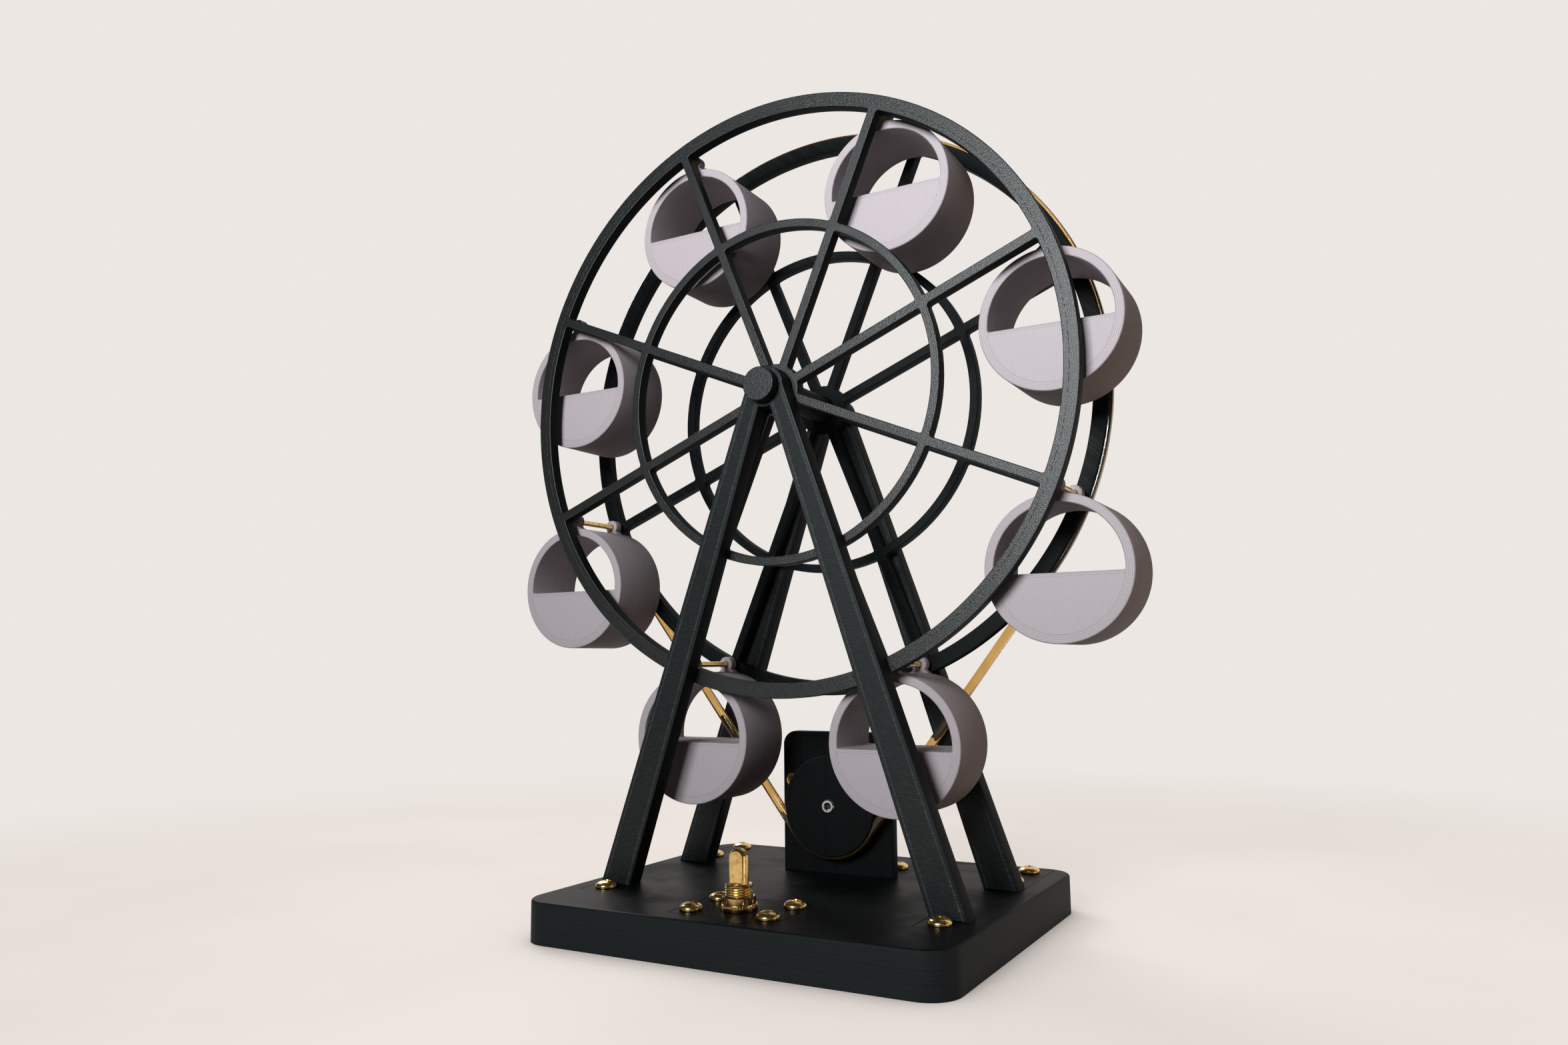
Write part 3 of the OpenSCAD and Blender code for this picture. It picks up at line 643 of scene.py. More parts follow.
def lilacFaceMaterial(name, wallRadius, sill):
    # UV holds the distance from the cabin's middle in metres
    material, tree, shader, coords = startMaterial(name, Roughness=0.55, Specular_IOR_Level=0.4)
    split = tree.nodes.new("ShaderNodeSeparateXYZ")
    tree.links.new(coords["UV"], split.inputs["Vector"])
    radius = vectorNode(tree, "LENGTH", coords["UV"])
    step = lilac["step"]
    wall = rangeNode(tree, radius, wallRadius - step, wallRadius + step)
    drop = mathNode(tree, "SUBTRACT", sill, split.outputs["Y"])
    ledge = rangeNode(tree, drop, lilac["ledge"] - step, lilac["ledge"] + step, 1.0, 0.0)

    def tracks(place, wander):
        return printRows(tree, coords, place, lilac["track"], wander)["Height"]

    fill = tracks(split.outputs["X"], 0.05)
    inner = mixValue(tree, ledge, fill, tracks(drop, 0.02))
    whole = mixValue(tree, wall, inner, tracks(radius, 0.02))
    fromWall = mathNode(tree, "ABSOLUTE", mathNode(tree, "SUBTRACT", radius, wallRadius))
    ends = rangeNode(tree, fromWall, *lilac["stitch"], 1.0, 0.0)
    stitch = mathNode(tree, "MULTIPLY", ends, mathNode(tree, "SUBTRACT", 1.0, fill))
    grain = useGroup(tree, plateGrain, Vector=coords["Object"], Scale=lilac["grain"])
    strong = rangeNode(tree, mathNode(tree, "MAXIMUM", wall, ledge), 0.0, 1.0, 0.4, 0.8)
    # grooves between the tracks and the stitches round the wall get the darker groove colour: painted
    # shade
    shade = mathNode(tree, "MULTIPLY", mathNode(tree, "SUBTRACT", 1.0, whole), strong)
    shade = mathNode(tree, "MAXIMUM", shade, stitch)
    tone = mixColor(tree, shade, lilac["body"], lilac["groove"])
    tone = mixColor(tree, mathNode(tree, "MULTIPLY", grain["Fleck"], 0.3), tone, lilac["light"])
    feedShader(tree, shader, Base_Color=tone)
    height = mathNode(tree, "MULTIPLY_ADD", grain["Height"], 0.3, whole)
    bumpFrom(tree, shader, height, 0.4, lilac["depth"])
    return material


def lilacWallMaterial(name):
    material, tree, shader, coords = startMaterial(name, Roughness=0.65, Specular_IOR_Level=0.17)
    place = vectorNode(tree, "DOT_PRODUCT", coords["Object"], (0, 1, 0))
    rows = printRows(tree, coords, place, lilac["layer"], 0.1)
    streak = mathNode(tree, "MULTIPLY", rows["Tone"], 0.4)
    feedShader(tree, shader, Base_Color=mixColor(tree, streak, lilac["body"], lilac["groove"]))
    bumpFrom(tree, shader, rows["Height"], 0.35, lilac["wallDepth"])
    return material


def metalMaterial(name, color, stain, rough, stainScale):
    material, tree, shader, coords = startMaterial(name, Metallic=1.0)
    patch = noiseNode(tree, coords["Object"], stainScale, 4.0, 0.6)
    tone = mixColor(tree, rangeNode(tree, patch, 0.42, 0.72), color, stain)
    scuff = noiseNode(tree, coords["Object"], stainScale * 6, 3.0, 0.7)
    feedShader(tree, shader, Base_Color=tone, Roughness=rangeNode(tree, scuff, 0.3, 0.8, *rough))
    bumpFrom(tree, shader, scuff, 0.12, 0.02 * mm)
    return material


brass = metalMaterial("brass", (0.80, 0.56, 0.23), (0.52, 0.33, 0.11), (0.14, 0.34), 420.0)
# darker, less rough brass for the knurled nut and its collar
darkBrass = metalMaterial("darkBrass", (0.52, 0.36, 0.16), (0.30, 0.20, 0.09), (0.12, 0.26), 420.0)
steel = metalMaterial("brightSteel", (0.62, 0.62, 0.63), (0.45, 0.45, 0.46), (0.2, 0.42), 300.0)
canSteel = metalMaterial("motorCan", (0.50, 0.50, 0.51), (0.36, 0.36, 0.37), (0.3, 0.5), 160.0)


def darkMaterial(name, color, rough):
    material, tree, shader, coords = startMaterial(name)
    patch = noiseNode(tree, coords["Object"], 900.0, 3.0)
    tone = mixColor(tree, patch, color, tuple(2 * c for c in color))
    matt = rangeNode(tree, patch, 0.2, 0.8, rough - 0.1, rough + 0.1)
    feedShader(tree, shader, Base_Color=tone, Roughness=matt)
    return material


# near-black colour for the inside of the shaft's end hole: painted shade
dimpleShade = darkMaterial("paintedDimpleShade", (0.006, 0.006, 0.006), 0.7)
terminalPlastic = darkMaterial("blackPlastic", (0.012, 0.012, 0.013), 0.45)
print("plastic and metal materials ready")


# camera at the photograph's viewing angle
view = {
    "place": (184.1 * mm, -346.2 * mm, 89.4 * mm),
    "yaw": 29.19,      # degrees the view turns left of straight back
    "pitch": 7.147,    # degrees it looks up
    "roll": -0.608,
    "sensor": 36,      # width in millimetres
    "lens": 25.42,
}


def addCamera():
    yaw, pitch, roll = (math.radians(view[k]) for k in ("yaw", "pitch", "roll"))
    level = math.cos(pitch)
    ahead = Vector((-math.sin(yaw) * level, math.cos(yaw) * level, math.sin(pitch)))
    right = Vector((math.cos(yaw), math.sin(yaw), 0))
    up = right.cross(ahead)
    tiltRight = right * math.cos(roll) + up * math.sin(roll)
    tiltUp = up * math.cos(roll) - right * math.sin(roll)
    data = bpy.data.cameras.new("photoCamera")
    data.sensor_width = view["sensor"]
    data.lens = view["lens"]
    data.clip_start = 0.01
    camera = bpy.data.objects.new("photoCamera", data)
    scene.collection.objects.link(camera)
    turn = Matrix((tiltRight, tiltUp, -ahead)).transposed().to_4x4()
    camera.matrix_world = Matrix.Translation(view["place"]) @ turn
    scene.camera = camera


addCamera()
print("camera placed")


# cabins: one is modelled round the origin and copied to each rod
cabin = {
    "radius": 23.0 * mm,
    "wall": 2.95 * mm,
    "sillDrop": 1.45 * mm,
    "windowCorner": 1.2 * mm,
    "edge": 0.4 * mm,
    "lugEye": 2.7 * mm,
    "lugHole": 1.08 * mm,
    "lugThick": 3.4 * mm,
    "lugInset": 0.06 * mm,     # front lug behind the cabin's face
    "lugNeck": 38,             # degrees below level where the eye ends
    "lugWaist": 2.3 * mm,      # half width between eye and foot
    "lugDrop": 2.1 * mm,       # waist below the rod
    "lugFoot": 3.9 * mm,       # half width on the cabin
    "lugSink": 0.25 * mm,      # foot let into the cabin
    "lugFillet": 0.7 * mm,
    "lugEdge": 0.3 * mm,
}


def makeCabinMaster():
    low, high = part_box("cabin_1")
    rod = rodPlaces[1]
    frontY = low.y - rod.y
    backLugY = high.y - rod.y
    backY = -frontY
    dropToMiddle = rod.z - (low.z + cabin["radius"])
    inner = cabin["radius"] - cabin["wall"]
    start = -math.asin(cabin["sillDrop"] / inner)
    window = softCorners(arc(0, 0, inner, start, math.pi - start, 96), cabin["windowCorner"])
    shell = cutPlate("cabinMaster", [ringOutline(0, 0, cabin["radius"], 192), window[::-1]],
                     frontY, backY, cabin["edge"])
    lugs = []
    for y in (frontY + cabin["lugInset"], backLugY - cabin["lugThick"]):
        lugs.append(makeLug(dropToMiddle, y, y + cabin["lugThick"]))
    joinInto(shell, lugs)
    layer = shell.data.uv_layers.new(name="cabinPlace")
    for corner in shell.data.loops:
        spot = shell.data.vertices[corner.vertex_index].co
        layer.data[corner.index].uv = (spot.x, spot.z)
    face = lilacFaceMaterial("lilacFace", inner, -cabin["sillDrop"])
    paintFaces(shell, [face, lilacWallMaterial("lilacWall")], faceOrWall)
    shell.data.transform(Matrix.Translation((0, 0, -dropToMiddle)))
    smoothEdges(shell)
    return shell


def makeLug(rise, y0, y1):
    # an eye round the rod on a foot that flares onto the cabin
    foot = cabin["lugFoot"]
    seat = math.sqrt(cabin["radius"] ** 2 - foot ** 2) - cabin["lugSink"]
    neck = math.radians(cabin["lugNeck"])
    waist, waistZ = cabin["lugWaist"], rise - cabin["lugDrop"]
    outline = arc(0, rise, cabin["lugEye"], -neck, math.pi + neck, 36)
    outline += [(-waist, waistZ), (-foot, seat), (foot, seat), (waist, waistZ)]
    hole = ringOutline(0, rise, cabin["lugHole"], 32, hole=True)
    return cutPlate("lugEye", [softCorners(outline, cabin["lugFillet"], sharp=12), hole],
                    y0, y1, cabin["lugEdge"])


cabinMaster = makeCabinMaster()
for i in seatNumbers:
    piece = copyTo(cabinMaster, f"cabinShell{i}", rodPlaces[i])
    standFor(piece, "lilac_plastic", f"cabin_{i}", f"cabin_{i}")
bpy.data.objects.remove(cabinMaster)
print("cabins hung")


# brass rods with eased ends
rodShape = {"radius": 1.0 * mm, "ease": 0.2 * mm}
for i in seatNumbers:
    y0, y1 = depth(f"rod_{i}")
    r, e = rodShape["radius"], rodShape["ease"]
    profile = [(0, y0)] + easedEdge(r, y0, e, 1) + easedEdge(r, y1, e, -1) + [(0, y1)]
    rod = turnProfile(f"brassRod{i}", profile, 32, (rodPlaces[i].x, 0, rodPlaces[i].z))
    rod.data.materials.append(brass)
    smoothEdges(rod)
    standFor(rod, "brass", "wheel", f"rod_{i}")
print("rods in place")


# wheels
wheelShape = {
    "rim": 5.1 * mm,
    "ring": 60.5 * mm,
    "ringWidth": 3.0 * mm,
    "spoke": 3.2 * mm,
    "hub": 9.2 * mm,
    "bore": 4.82 * mm,
    "edge": 0.28 * mm,
    "fillet": 0.9 * mm,
    "grooveDepth": 1.9 * mm,
    "grooveWidth": 3.4 * mm,
    "grooveSlope": 0.2 * mm,
}


def gapOutline(number, inner, outer, steps):
    # opening between two spokes and two rings
    half = wheelShape["spoke"] / 2
    a0 = firstSpoke + number * seatStep
    a1 = a0 + seatStep
    wide, narrow = math.asin(half / inner), math.asin(half / outer)
    far = arc(hubPlace.x, hubPlace.z, outer, a0 + narrow, a1 - narrow, steps)
    near = arc(hubPlace.x, hubPlace.z, inner, a1 - wide, a0 + wide, max(6, steps // 3))
    return softCorners(far + near, wheelShape["fillet"])[::-1]


def makeWheel(name, node):
    y0, y1 = depth(node)
    ringOut = wheelShape["ring"]
    outlines = [ringOutline(hubPlace.x, hubPlace.z, wheelRadius, 320)]
    for k in range(len(seatNumbers)):
        outlines.append(gapOutline(k, ringOut, wheelRadius - wheelShape["rim"], 40))
        outlines.append(gapOutline(k, wheelShape["hub"], ringOut - wheelShape["ringWidth"], 26))
    outlines.append(ringOutline(hubPlace.x, hubPlace.z, wheelShape["bore"], 64, hole=True))
    return cutPlate(name, outlines, y0, y1, wheelShape["edge"])


def grooveCutter():
    half = wheelShape["grooveWidth"] / 2
    bottom = half - wheelShape["grooveSlope"]
    deep = wheelRadius - wheelShape["grooveDepth"]
    out = wheelRadius + cutOver
    profile = [(deep, -bottom), (wheelRadius, -half), (out, -half), (out, half), (wheelRadius, half),
               (deep, bottom), (deep, -bottom)]
    return turnProfile("rimGroove", profile, 320, (hubPlace.x, middle("rear_wheel").y, hubPlace.z))


frontWheel = makeWheel("frontWheelPrint", "front_wheel")
paintFaces(frontWheel, [rimSkin, wheelWall, hatchSkin], frontWallBack)
smoothEdges(frontWheel)
standFor(frontWheel, "charcoal_plastic", "wheel", "front_wheel")

rearWheel = makeWheel("rearWheelPrint", "rear_wheel")
cutWith(rearWheel, grooveCutter())
paintFaces(rearWheel, [hatchSkin, wheelWall, grainSkin], frontWallBack)
smoothEdges(rearWheel)
standFor(rearWheel, "charcoal_plastic", "wheel", "rear_wheel")
print("wheels cut")


# axle with its head, and the cap at the rear
axleShape = {
    "radius": 4.8 * mm,
    "head": 5.85 * mm,
    "headThick": 3.9 * mm,
    "ease": 0.35 * mm,
    "bow": 0.3,              # roundness of the eased edges
    "tail": 3.0 * mm,        # radius that the cap is pressed on
    "capGap": 0.02 * mm,
    "capEnd": 0.6 * mm,
}


def makeAxle():
    y0, y1 = depth("axle")
    clip0 = depth("axle_clip")[0]
    r, h, e, tail = (axleShape[k] for k in ("radius", "head", "ease", "tail"))
    back = y0 + axleShape["headThick"]
    head = [(0, y0)] + easedEdge(h, y0, e, 1, axleShape["bow"]) + easedEdge(h, back, e, -1)
    pin = [(r, back), (r, clip0), (tail, clip0), (tail, y1), (0, y1)]
    axle = turnProfile("axlePin", head + pin, 96, hubAxis)
    paintFaces(axle, [grainSkin, wheelWall], lambda f: 0 if f.normal.y < -facing else 1)
    smoothEdges(axle)
    standFor(axle, "charcoal_plastic", "wheel", "axle")


def makeAxleCap():
    y0, y1 = depth("axle_clip")
    r = (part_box("axle_clip")[1].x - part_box("axle_clip")[0].x) / 2
    e = axleShape["ease"]
    bore = axleShape["tail"] + axleShape["capGap"]
    inside = y1 - axleShape["capEnd"]
    profile = [(bore, inside), (bore, y0)] + easedEdge(r, y0, e, 1)
    profile += easedEdge(r, y1, 2 * e, -1, axleShape["bow"]) + [(0, y1), (0, inside), (bore, inside)]
    cap = turnProfile("axleCap", profile, 96, hubAxis)
    paintFaces(cap, [grainSkin, wheelWall], lambda f: 0 if f.normal.y > facing else 1)
    smoothEdges(cap)
    standFor(cap, "charcoal_plastic", "wheel", "axle_clip")


makeAxle()
makeAxleCap()
print("axle turned")


# A-frames with their flush foot tabs
legShape = {
    "foot": 12.3 * mm,
    "boss": 7.2 * mm,
    "bore": 4.88 * mm,
    "thick": 6.5 * mm,
    "edge": 0.35 * mm,
    "tabStep": 1.0 * mm,     # tab wider than the leg, on its inner side
    "tabEdge": 0.22 * mm,
}


def edgeLine(x0, z0, x1, z1, inwardX):
    # a line as (x, z, normal x, normal z), with its normal to the side that holds inwardX
    along = Vector((x1 - x0, z1 - z0)).normalized()
    normal = Vector((-along.y, along.x))
    if normal.x * inwardX < 0:
        normal = -normal
    return x0, z0, normal.x, normal.y


def makeFrame(name, node, tabForward):
    low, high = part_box(node)
    footOut = high.x
    footIn = footOut - legShape["foot"]
    boss = legShape["boss"]
    z = hubPlace.z
    thick = legShape["thick"]
    y0 = high.y - thick if tabForward else low.y
    y1 = y0 + thick
    reach = math.atan2(z - topZ, footIn)
    crown = arc(0, z, boss, 0, math.pi, 40)
    crotch = arc(0, z, boss, -math.pi + reach, -reach, 8)
    outline = [(footOut, topZ)] + crown + [(-footOut, topZ), (-footIn, topZ)]
    outline += crotch + [(footIn, topZ)]
    plate = cutPlate(name, [outline, ringOutline(0, z, legShape["bore"], 64, hole=True)],
                     y0, y1, legShape["edge"])
    outer = edgeLine(footOut, topZ, boss, z, -1)
    inner = edgeLine(footIn, topZ, 0, z, 1)
    face = legFaceMaterial(name + "Face", outer, inner)
    skins = [face, wheelWall, grainSkin, baseTop]
    paintFaces(plate, skins, frontWallBack)
    tabs = []
    for sign in (-1, 1):
        x0, x1 = sorted((sign * (footIn - legShape["tabStep"]), sign * footOut))
        tab = addBlock(name + "Tab", (x0, low.y, low.z), (x1, high.y, topZ))
        bevelEdges(tab, legShape["tabEdge"], 2, upperEdge(topZ))
        paintFaces(tab, skins, lambda f: 3)
        tabs.append(tab)
    joinInto(plate, tabs)
    smoothEdges(plate)
    standFor(plate, "charcoal_plastic", "stand", node)


makeFrame("frontLegs", "front_frame", True)
makeFrame("rearLegs", "rear_frame", False)
print("frames stood up")


# base shell with recesses for the inlaid pieces
baseShape = {
    "corner": 10 * mm,
    "edge": 0.9 * mm,
    "wall": 2.4 * mm,
    "seam": 0.16 * mm,          # gap round the inlaid pieces
    "seamEdge": 0.2 * mm,
    "bracketStep": 1.3 * mm,    # the bracket's foot is narrower than its plate by this, on each side
    "coverGap": 0.12 * mm,
}


def makeBase():
    low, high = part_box("base_shell")
    base = addBlock("baseShell", low, high)
    bevelEdges(base, baseShape["corner"], 12, uprightEdge)
    bevelEdges(base, baseShape["edge"], 4, upperEdge(high.z))
    inlaid = {"rear_strip": 0, "control_plate": 0, "motor_bracket": baseShape["bracketStep"]}
    seats = []     # lowest and highest x, and the node that gives the rest
    for node, step in inlaid.items():
        lo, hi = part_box(node)
        seats.append((lo.x + step, hi.x - step, node))
    for node in ("front_frame", "rear_frame"):
        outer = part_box(node)[1].x
        inner = outer - legShape["foot"] - legShape["tabStep"]
        for sign in (-1, 1):
            seats.append((*sorted((sign * inner, sign * outer)), node))
    seam = baseShape["seam"]
    for x0, x1, node in seats:
        lo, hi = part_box(node)
        cutWith(base, addBlock("seatCut", (x0 - seam, lo.y - seam, lo.z),
                               (x1 + seam, hi.y + seam, high.z + cutOver)))
    coverLow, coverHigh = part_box("base_cover")
    gap = Vector((baseShape["coverGap"], baseShape["coverGap"], 0))
    pocket = addBlock("coverCut", coverLow - gap - Vector((0, 0, cutOver)), coverHigh + gap)
    bevelEdges(pocket, baseShape["corner"] - baseShape["wall"], 12, uprightEdge)
    cutWith(base, pocket)
    cleanMesh(base)
    useModifier(base, "BEVEL", width=baseShape["seamEdge"], segments=2, limit_method="ANGLE",
                angle_limit=math.radians(50))
    paintFaces(base, [baseTop, baseWall], topOrWall)
    smoothEdges(base)
    standFor(base, "charcoal_plastic", "stand", "base_shell")


def makeInlay(name, node):
    low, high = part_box(node)
    inlay = addBlock(name, low, high)
    bevelEdges(inlay, baseShape["seamEdge"], 2, upperEdge(high.z))
    paintFaces(inlay, [baseTop, baseWall], topOrWall)
    smoothEdges(inlay)
    standFor(inlay, "charcoal_plastic", "stand", node)


makeBase()
makeInlay("backStrip", "rear_strip")
makeInlay("controlInlay", "control_plate")
print("base ready")


# pan-head screws with a cross recess, modelled once and copied
screwShape = {
    "head": 3.65 * mm,
    "headHeight": 2.4 * mm,
    "rim": 0.7 * mm,                  # height of the head's side below its dome
    "under": (0.25 * mm, 0.2 * mm),   # eased lower edge of the head, in and up
    "shank": 1.5 * mm,
    "length": 8 * mm,
    "slot": 0.95 * mm,
    "slotReach": 2.0 * mm,
    "slotDepth": 1.35 * mm,
    "slotRise": 1.0 * mm,             # top of the tapered cutter above the head
    "slotTaper": 0.62,                # width at its bottom against its top
    "apart": 5 * mm,                  # points closer than this are one screw
    "turnStep": 0.9,                  # radians from one screw's cross to the next
}
screwTurns = {"foot_screws": 0.4, "strip_screws": 1.1, "bracket_screws": 0.2, "plate_screws": 0.75}


def makeScrew(name, radius, height, length):
    # head up, seated at the origin
    rim = screwShape["rim"] * height / screwShape["headHeight"]
    dome = [(radius * math.cos(a), rim + (height - rim) * math.sin(a))
            for a in (math.pi / 2 * k / 10 for k in range(11))]
    shank = screwShape["shank"]
    lipIn, lipUp = screwShape["under"]
    profile = [(0, -length), (shank, -length), (shank, 0), (radius - lipIn, 0), (radius, lipUp)]
    screw = turnProfile(name, profile + dome[:-1] + [(0, height)], 48, (0, 0, 0), alongY=False)
    half = screwShape["slot"] / 2
    reach = screwShape["slotReach"] * radius / screwShape["head"]
    for x, y in ((reach, half), (half, reach)):
        slot = addBlock("crossCut", (-x, -y, height - screwShape["slotDepth"]),
                        (x, y, height + screwShape["slotRise"]))
        for point in slot.data.vertices:
            if point.co.z < height:
                point.co.x *= screwShape["slotTaper"]
                point.co.y *= screwShape["slotTaper"]
        cutWith(screw, slot)
    screw.data.materials.append(brass)
    smoothEdges(screw, 40)
    return screw


def headPlaces(node):
    # middle of each separate screw in a node
    mesh = nodes[node].data
    found = []
    for point in mesh.vertices:
        spot = Vector((point.co.x, point.co.y))
        for group in found:
            if ((group["low"] + group["high"]) / 2 - spot).length < screwShape["apart"]:
                group["low"] = Vector(map(min, group["low"], spot))
                group["high"] = Vector(map(max, group["high"], spot))
                break
        else:
            found.append({"low": spot.copy(), "high": spot.copy()})
    return [(group["low"] + group["high"]) / 2 for group in found]


screwMaster = makeScrew("screwMaster", screwShape["head"], screwShape["headHeight"], screwShape["length"])
for node, turn in screwTurns.items():
    copies = []
    for k, spot in enumerate(headPlaces(node)):
        twin = copyTo(screwMaster, f"{node}{k}", (0, 0, 0))
        twin.data.transform(Matrix.Translation((spot.x, spot.y, topZ)) @
                            Matrix.Rotation(turn + screwShape["turnStep"] * k, 4, "Z"))
        copies.append(twin)
    group = joinInto(copies[0], copies[1:])
    group.name = node.replace("_s", "S")
    standFor(group, "brass", "stand", node)
bpy.data.objects.remove(screwMaster)
print("screws driven")


# rubber band round the rear rim and the pulley
bandShape = {"sink": 1.7 * mm, "edge": 0.6 * mm}
amber = {
    "clear": (0.72, 0.45, 0.15),
    "cloudy": (0.64, 0.37, 0.10),
    "cloud": 120.0,
    "matt": (0.1, 0.2),
    "ripple": 900.0,
    "rippleDepth": 0.05 * mm,
}
pulleyPlace = middle("pulley")
pulleyAxis = (pulleyPlace.x, 0, pulleyPlace.z)
pulleyRadius = (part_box("pulley")[1].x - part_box("pulley")[0].x) / 2


def bandOutline(grow, hole):
    big = wheelRadius - bandShape["sink"] + grow
    small = pulleyRadius - bandShape["sink"] + grow
    lean = math.asin((big - small) / (hubPlace.z - pulleyPlace.z))
    top = arc(0, hubPlace.z, big, -lean, math.pi + lean, 260)
    bottom = arc(0, pulleyPlace.z, small, math.pi + lean, tau - lean, 48)
    return (top + bottom)[::-1] if hole else top + bottom


def amberMaterial(name):
    # see-through rubber: gold against the light and nearly black against the base
    material, tree, shader, coords = startMaterial(name, IOR=1.45, Specular_IOR_Level=0.4,
                                                   Transmission_Weight=0.97)
    cloud = noiseNode(tree, coords["Object"], amber["cloud"], 4.0)
    tone = mixColor(tree, rangeNode(tree, cloud, 0.35, 0.7), amber["clear"], amber["cloudy"])
    matt = rangeNode(tree, cloud, 0.3, 0.7, *amber["matt"])
    feedShader(tree, shader, Base_Color=tone, Roughness=matt)
    ripple = noiseNode(tree, coords["Object"], amber["ripple"], 3.0)
    bumpFrom(tree, shader, ripple, 0.06, amber["rippleDepth"])
    return material


bandY = depth("belt")
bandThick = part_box("belt")[1].z - hubPlace.z - wheelRadius + bandShape["sink"]
band = cutPlate("rubberBand", [bandOutline(bandThick, False), bandOutline(0, True)],
                bandY[0], bandY[1], bandShape["edge"])
band.data.materials.append(amberMaterial("amberRubber"))
smoothEdges(band)
standFor(band, "amber_rubber", "stand", "belt")
print("band fitted")


# pulley on the motor's shaft
pulleyShape = {
    "radius": 17.6 * mm,
    "bore": 2.52 * mm,
    "ease": 0.3 * mm,
    "groove": 15.7 * mm,
    "grooveHalf": 1.5 * mm,
    "grooveSlope": 0.2 * mm,
}
shaftShape = {
    "radius": 2.5 * mm,
    "ease": 0.45 * mm,
    "dimple": 1.15 * mm,        # centre hole in the end
    "dimpleEase": 0.3 * mm,
    "dimpleSide": 1.4 * mm,
    "dimpleDepth": 1.6 * mm,
}


def makePulley():
    y0, y1 = depth("pulley")
    mid = (y0 + y1) / 2
    r, b, e, g = (pulleyShape[k] for k in ("radius", "bore", "ease", "groove"))
    h = pulleyShape["grooveHalf"]
    lip = h + pulleyShape["grooveSlope"]
    profile = [(b, y0)] + easedEdge(r, y0, e, 1)
    profile += [(r, mid - lip), (g, mid - h), (g, mid + h), (r, mid + lip)]
    profile += easedEdge(r, y1, e, -1) + [(b, y1), (b, y0)]
    pulley = turnProfile("drivePulley", profile, 128, pulleyAxis)
    paintFaces(pulley, [plainSkin, wheelWall], faceOrWall)
    smoothEdges(pulley)
    standFor(pulley, "charcoal_plastic", "drive", "pulley")


def makeShaft():
    y0, y1 = depth("motor_shaft")
    r, d, lip = (shaftShape[k] for k in ("radius", "dimple", "dimpleEase"))
    profile = [(0, y0 + shaftShape["dimpleDepth"]), (d, y0 + shaftShape["dimpleSide"]), (d, y0 + lip),
               (d + lip, y0)] + easedEdge(r, y0, shaftShape["ease"], 1) + [(r, y1), (0, y1)]
    shaft = turnProfile("motorShaft", profile, 64, pulleyAxis)

    def inDimple(face):
        across = Vector((face.center.x, face.center.z - pulleyPlace.z)).length
        return 1 if face.center.y > y0 + lip and across < d else 0

    # the inside of the dimple is painted near black: painted shade in the hole
    paintFaces(shaft, [steel, dimpleShade], inDimple)
    smoothEdges(shaft)
    standFor(shaft, "steel", "drive", "motor_shaft")


makePulley()
makeShaft()
print("pulley and shaft ready")


# motor bracket
bracketShape = {
    "corner": 5 * mm,
    "edge": 0.4 * mm,
    "thick": 4 * mm,
    "boss": 4.7 * mm,
    "screwTurn": 0.5,     # radians, for the first motor screw's cross
}


def makeBracket():
    low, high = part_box("motor_bracket")
    r = bracketShape["corner"]
    half, top = high.x, high.z
    outline = [(half, topZ)] + arc(half - r, top - r, r, 0, math.pi / 2, 12)
    outline += arc(r - half, top - r, r, math.pi / 2, math.pi, 12) + [(-half, topZ)]
    hole = ringOutline(pulleyPlace.x, pulleyPlace.z, bracketShape["boss"], 48, hole=True)
    plate = cutPlate("motorBracket", [outline, hole], low.y, low.y + bracketShape["thick"],
                     bracketShape["edge"])
    skins = [plainSkin, wheelWall, baseTop]
    paintFaces(plate, skins, faceOrWall)
    footHalf = half - baseShape["bracketStep"]
    foot = addBlock("bracketFoot", (-footHalf, low.y, low.z), (footHalf, high.y, topZ))
    bevelEdges(foot, baseShape["seamEdge"], 2, upperEdge(topZ))
    paintFaces(foot, skins, lambda f: 2)
    joinInto(plate, [foot])
    smoothEdges(plate)
    standFor(plate, "charcoal_plastic", "stand", "motor_bracket")


def makeMotorScrews():
    low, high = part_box("motor_screws")
    y = depth("motor_bracket")[0]
    height = y - low.y
    r = (high.z - low.z) / 2
    copies = []
    for k, x in enumerate((low.x + r, high.x - r)):
        screw = makeScrew(f"motorScrew{k}", r, height, high.y - y)
        screw.data.transform(Matrix.Translation((x, y, (low.z + high.z) / 2)) @
                             Matrix.Rotation(math.pi / 2, 4, "X") @
                             Matrix.Rotation(bracketShape["screwTurn"] + k, 4, "Z"))
        copies.append(screw)
    group = joinInto(copies[0], copies[1:])
    group.name = "motorScrews"
    standFor(group, "brass", "stand", "motor_screws")


makeBracket()
makeMotorScrews()
print("bracket ready")


# gearmotor behind the bracket
motorShape = {
    "can": 14.0 * mm,
    "ease": 1.2 * mm,
    "bow": 0.3,
    "faceEase": 0.4 * mm,
    "gearbox": 8.5 * mm,
    "seam": 0.35 * mm,
    "dish": (0.2, 0.42),        # ring pressed into the back, in shares of the radius
    "dishSlope": 0.02,
    "dishDepth": 0.5 * mm,
    "ear": 3.5 * mm,
    "earThick": 1.0 * mm,
    "earHole": 1.52 * mm,
    "earEdge": 0.15 * mm,
    "boss": 4.5 * mm,
    "bossBore": 2.6 * mm,
    "bossEase": 0.3 * mm,
}
solderTab = {
    "apart": 5 * mm,            # from the middle
    "half": 1 * mm,
    "low": 7 * mm,
    "high": 10 * mm,
    "thick": 0.8 * mm,
    "sunk": 0.02 * mm,
    "edge": 0.25 * mm,
}


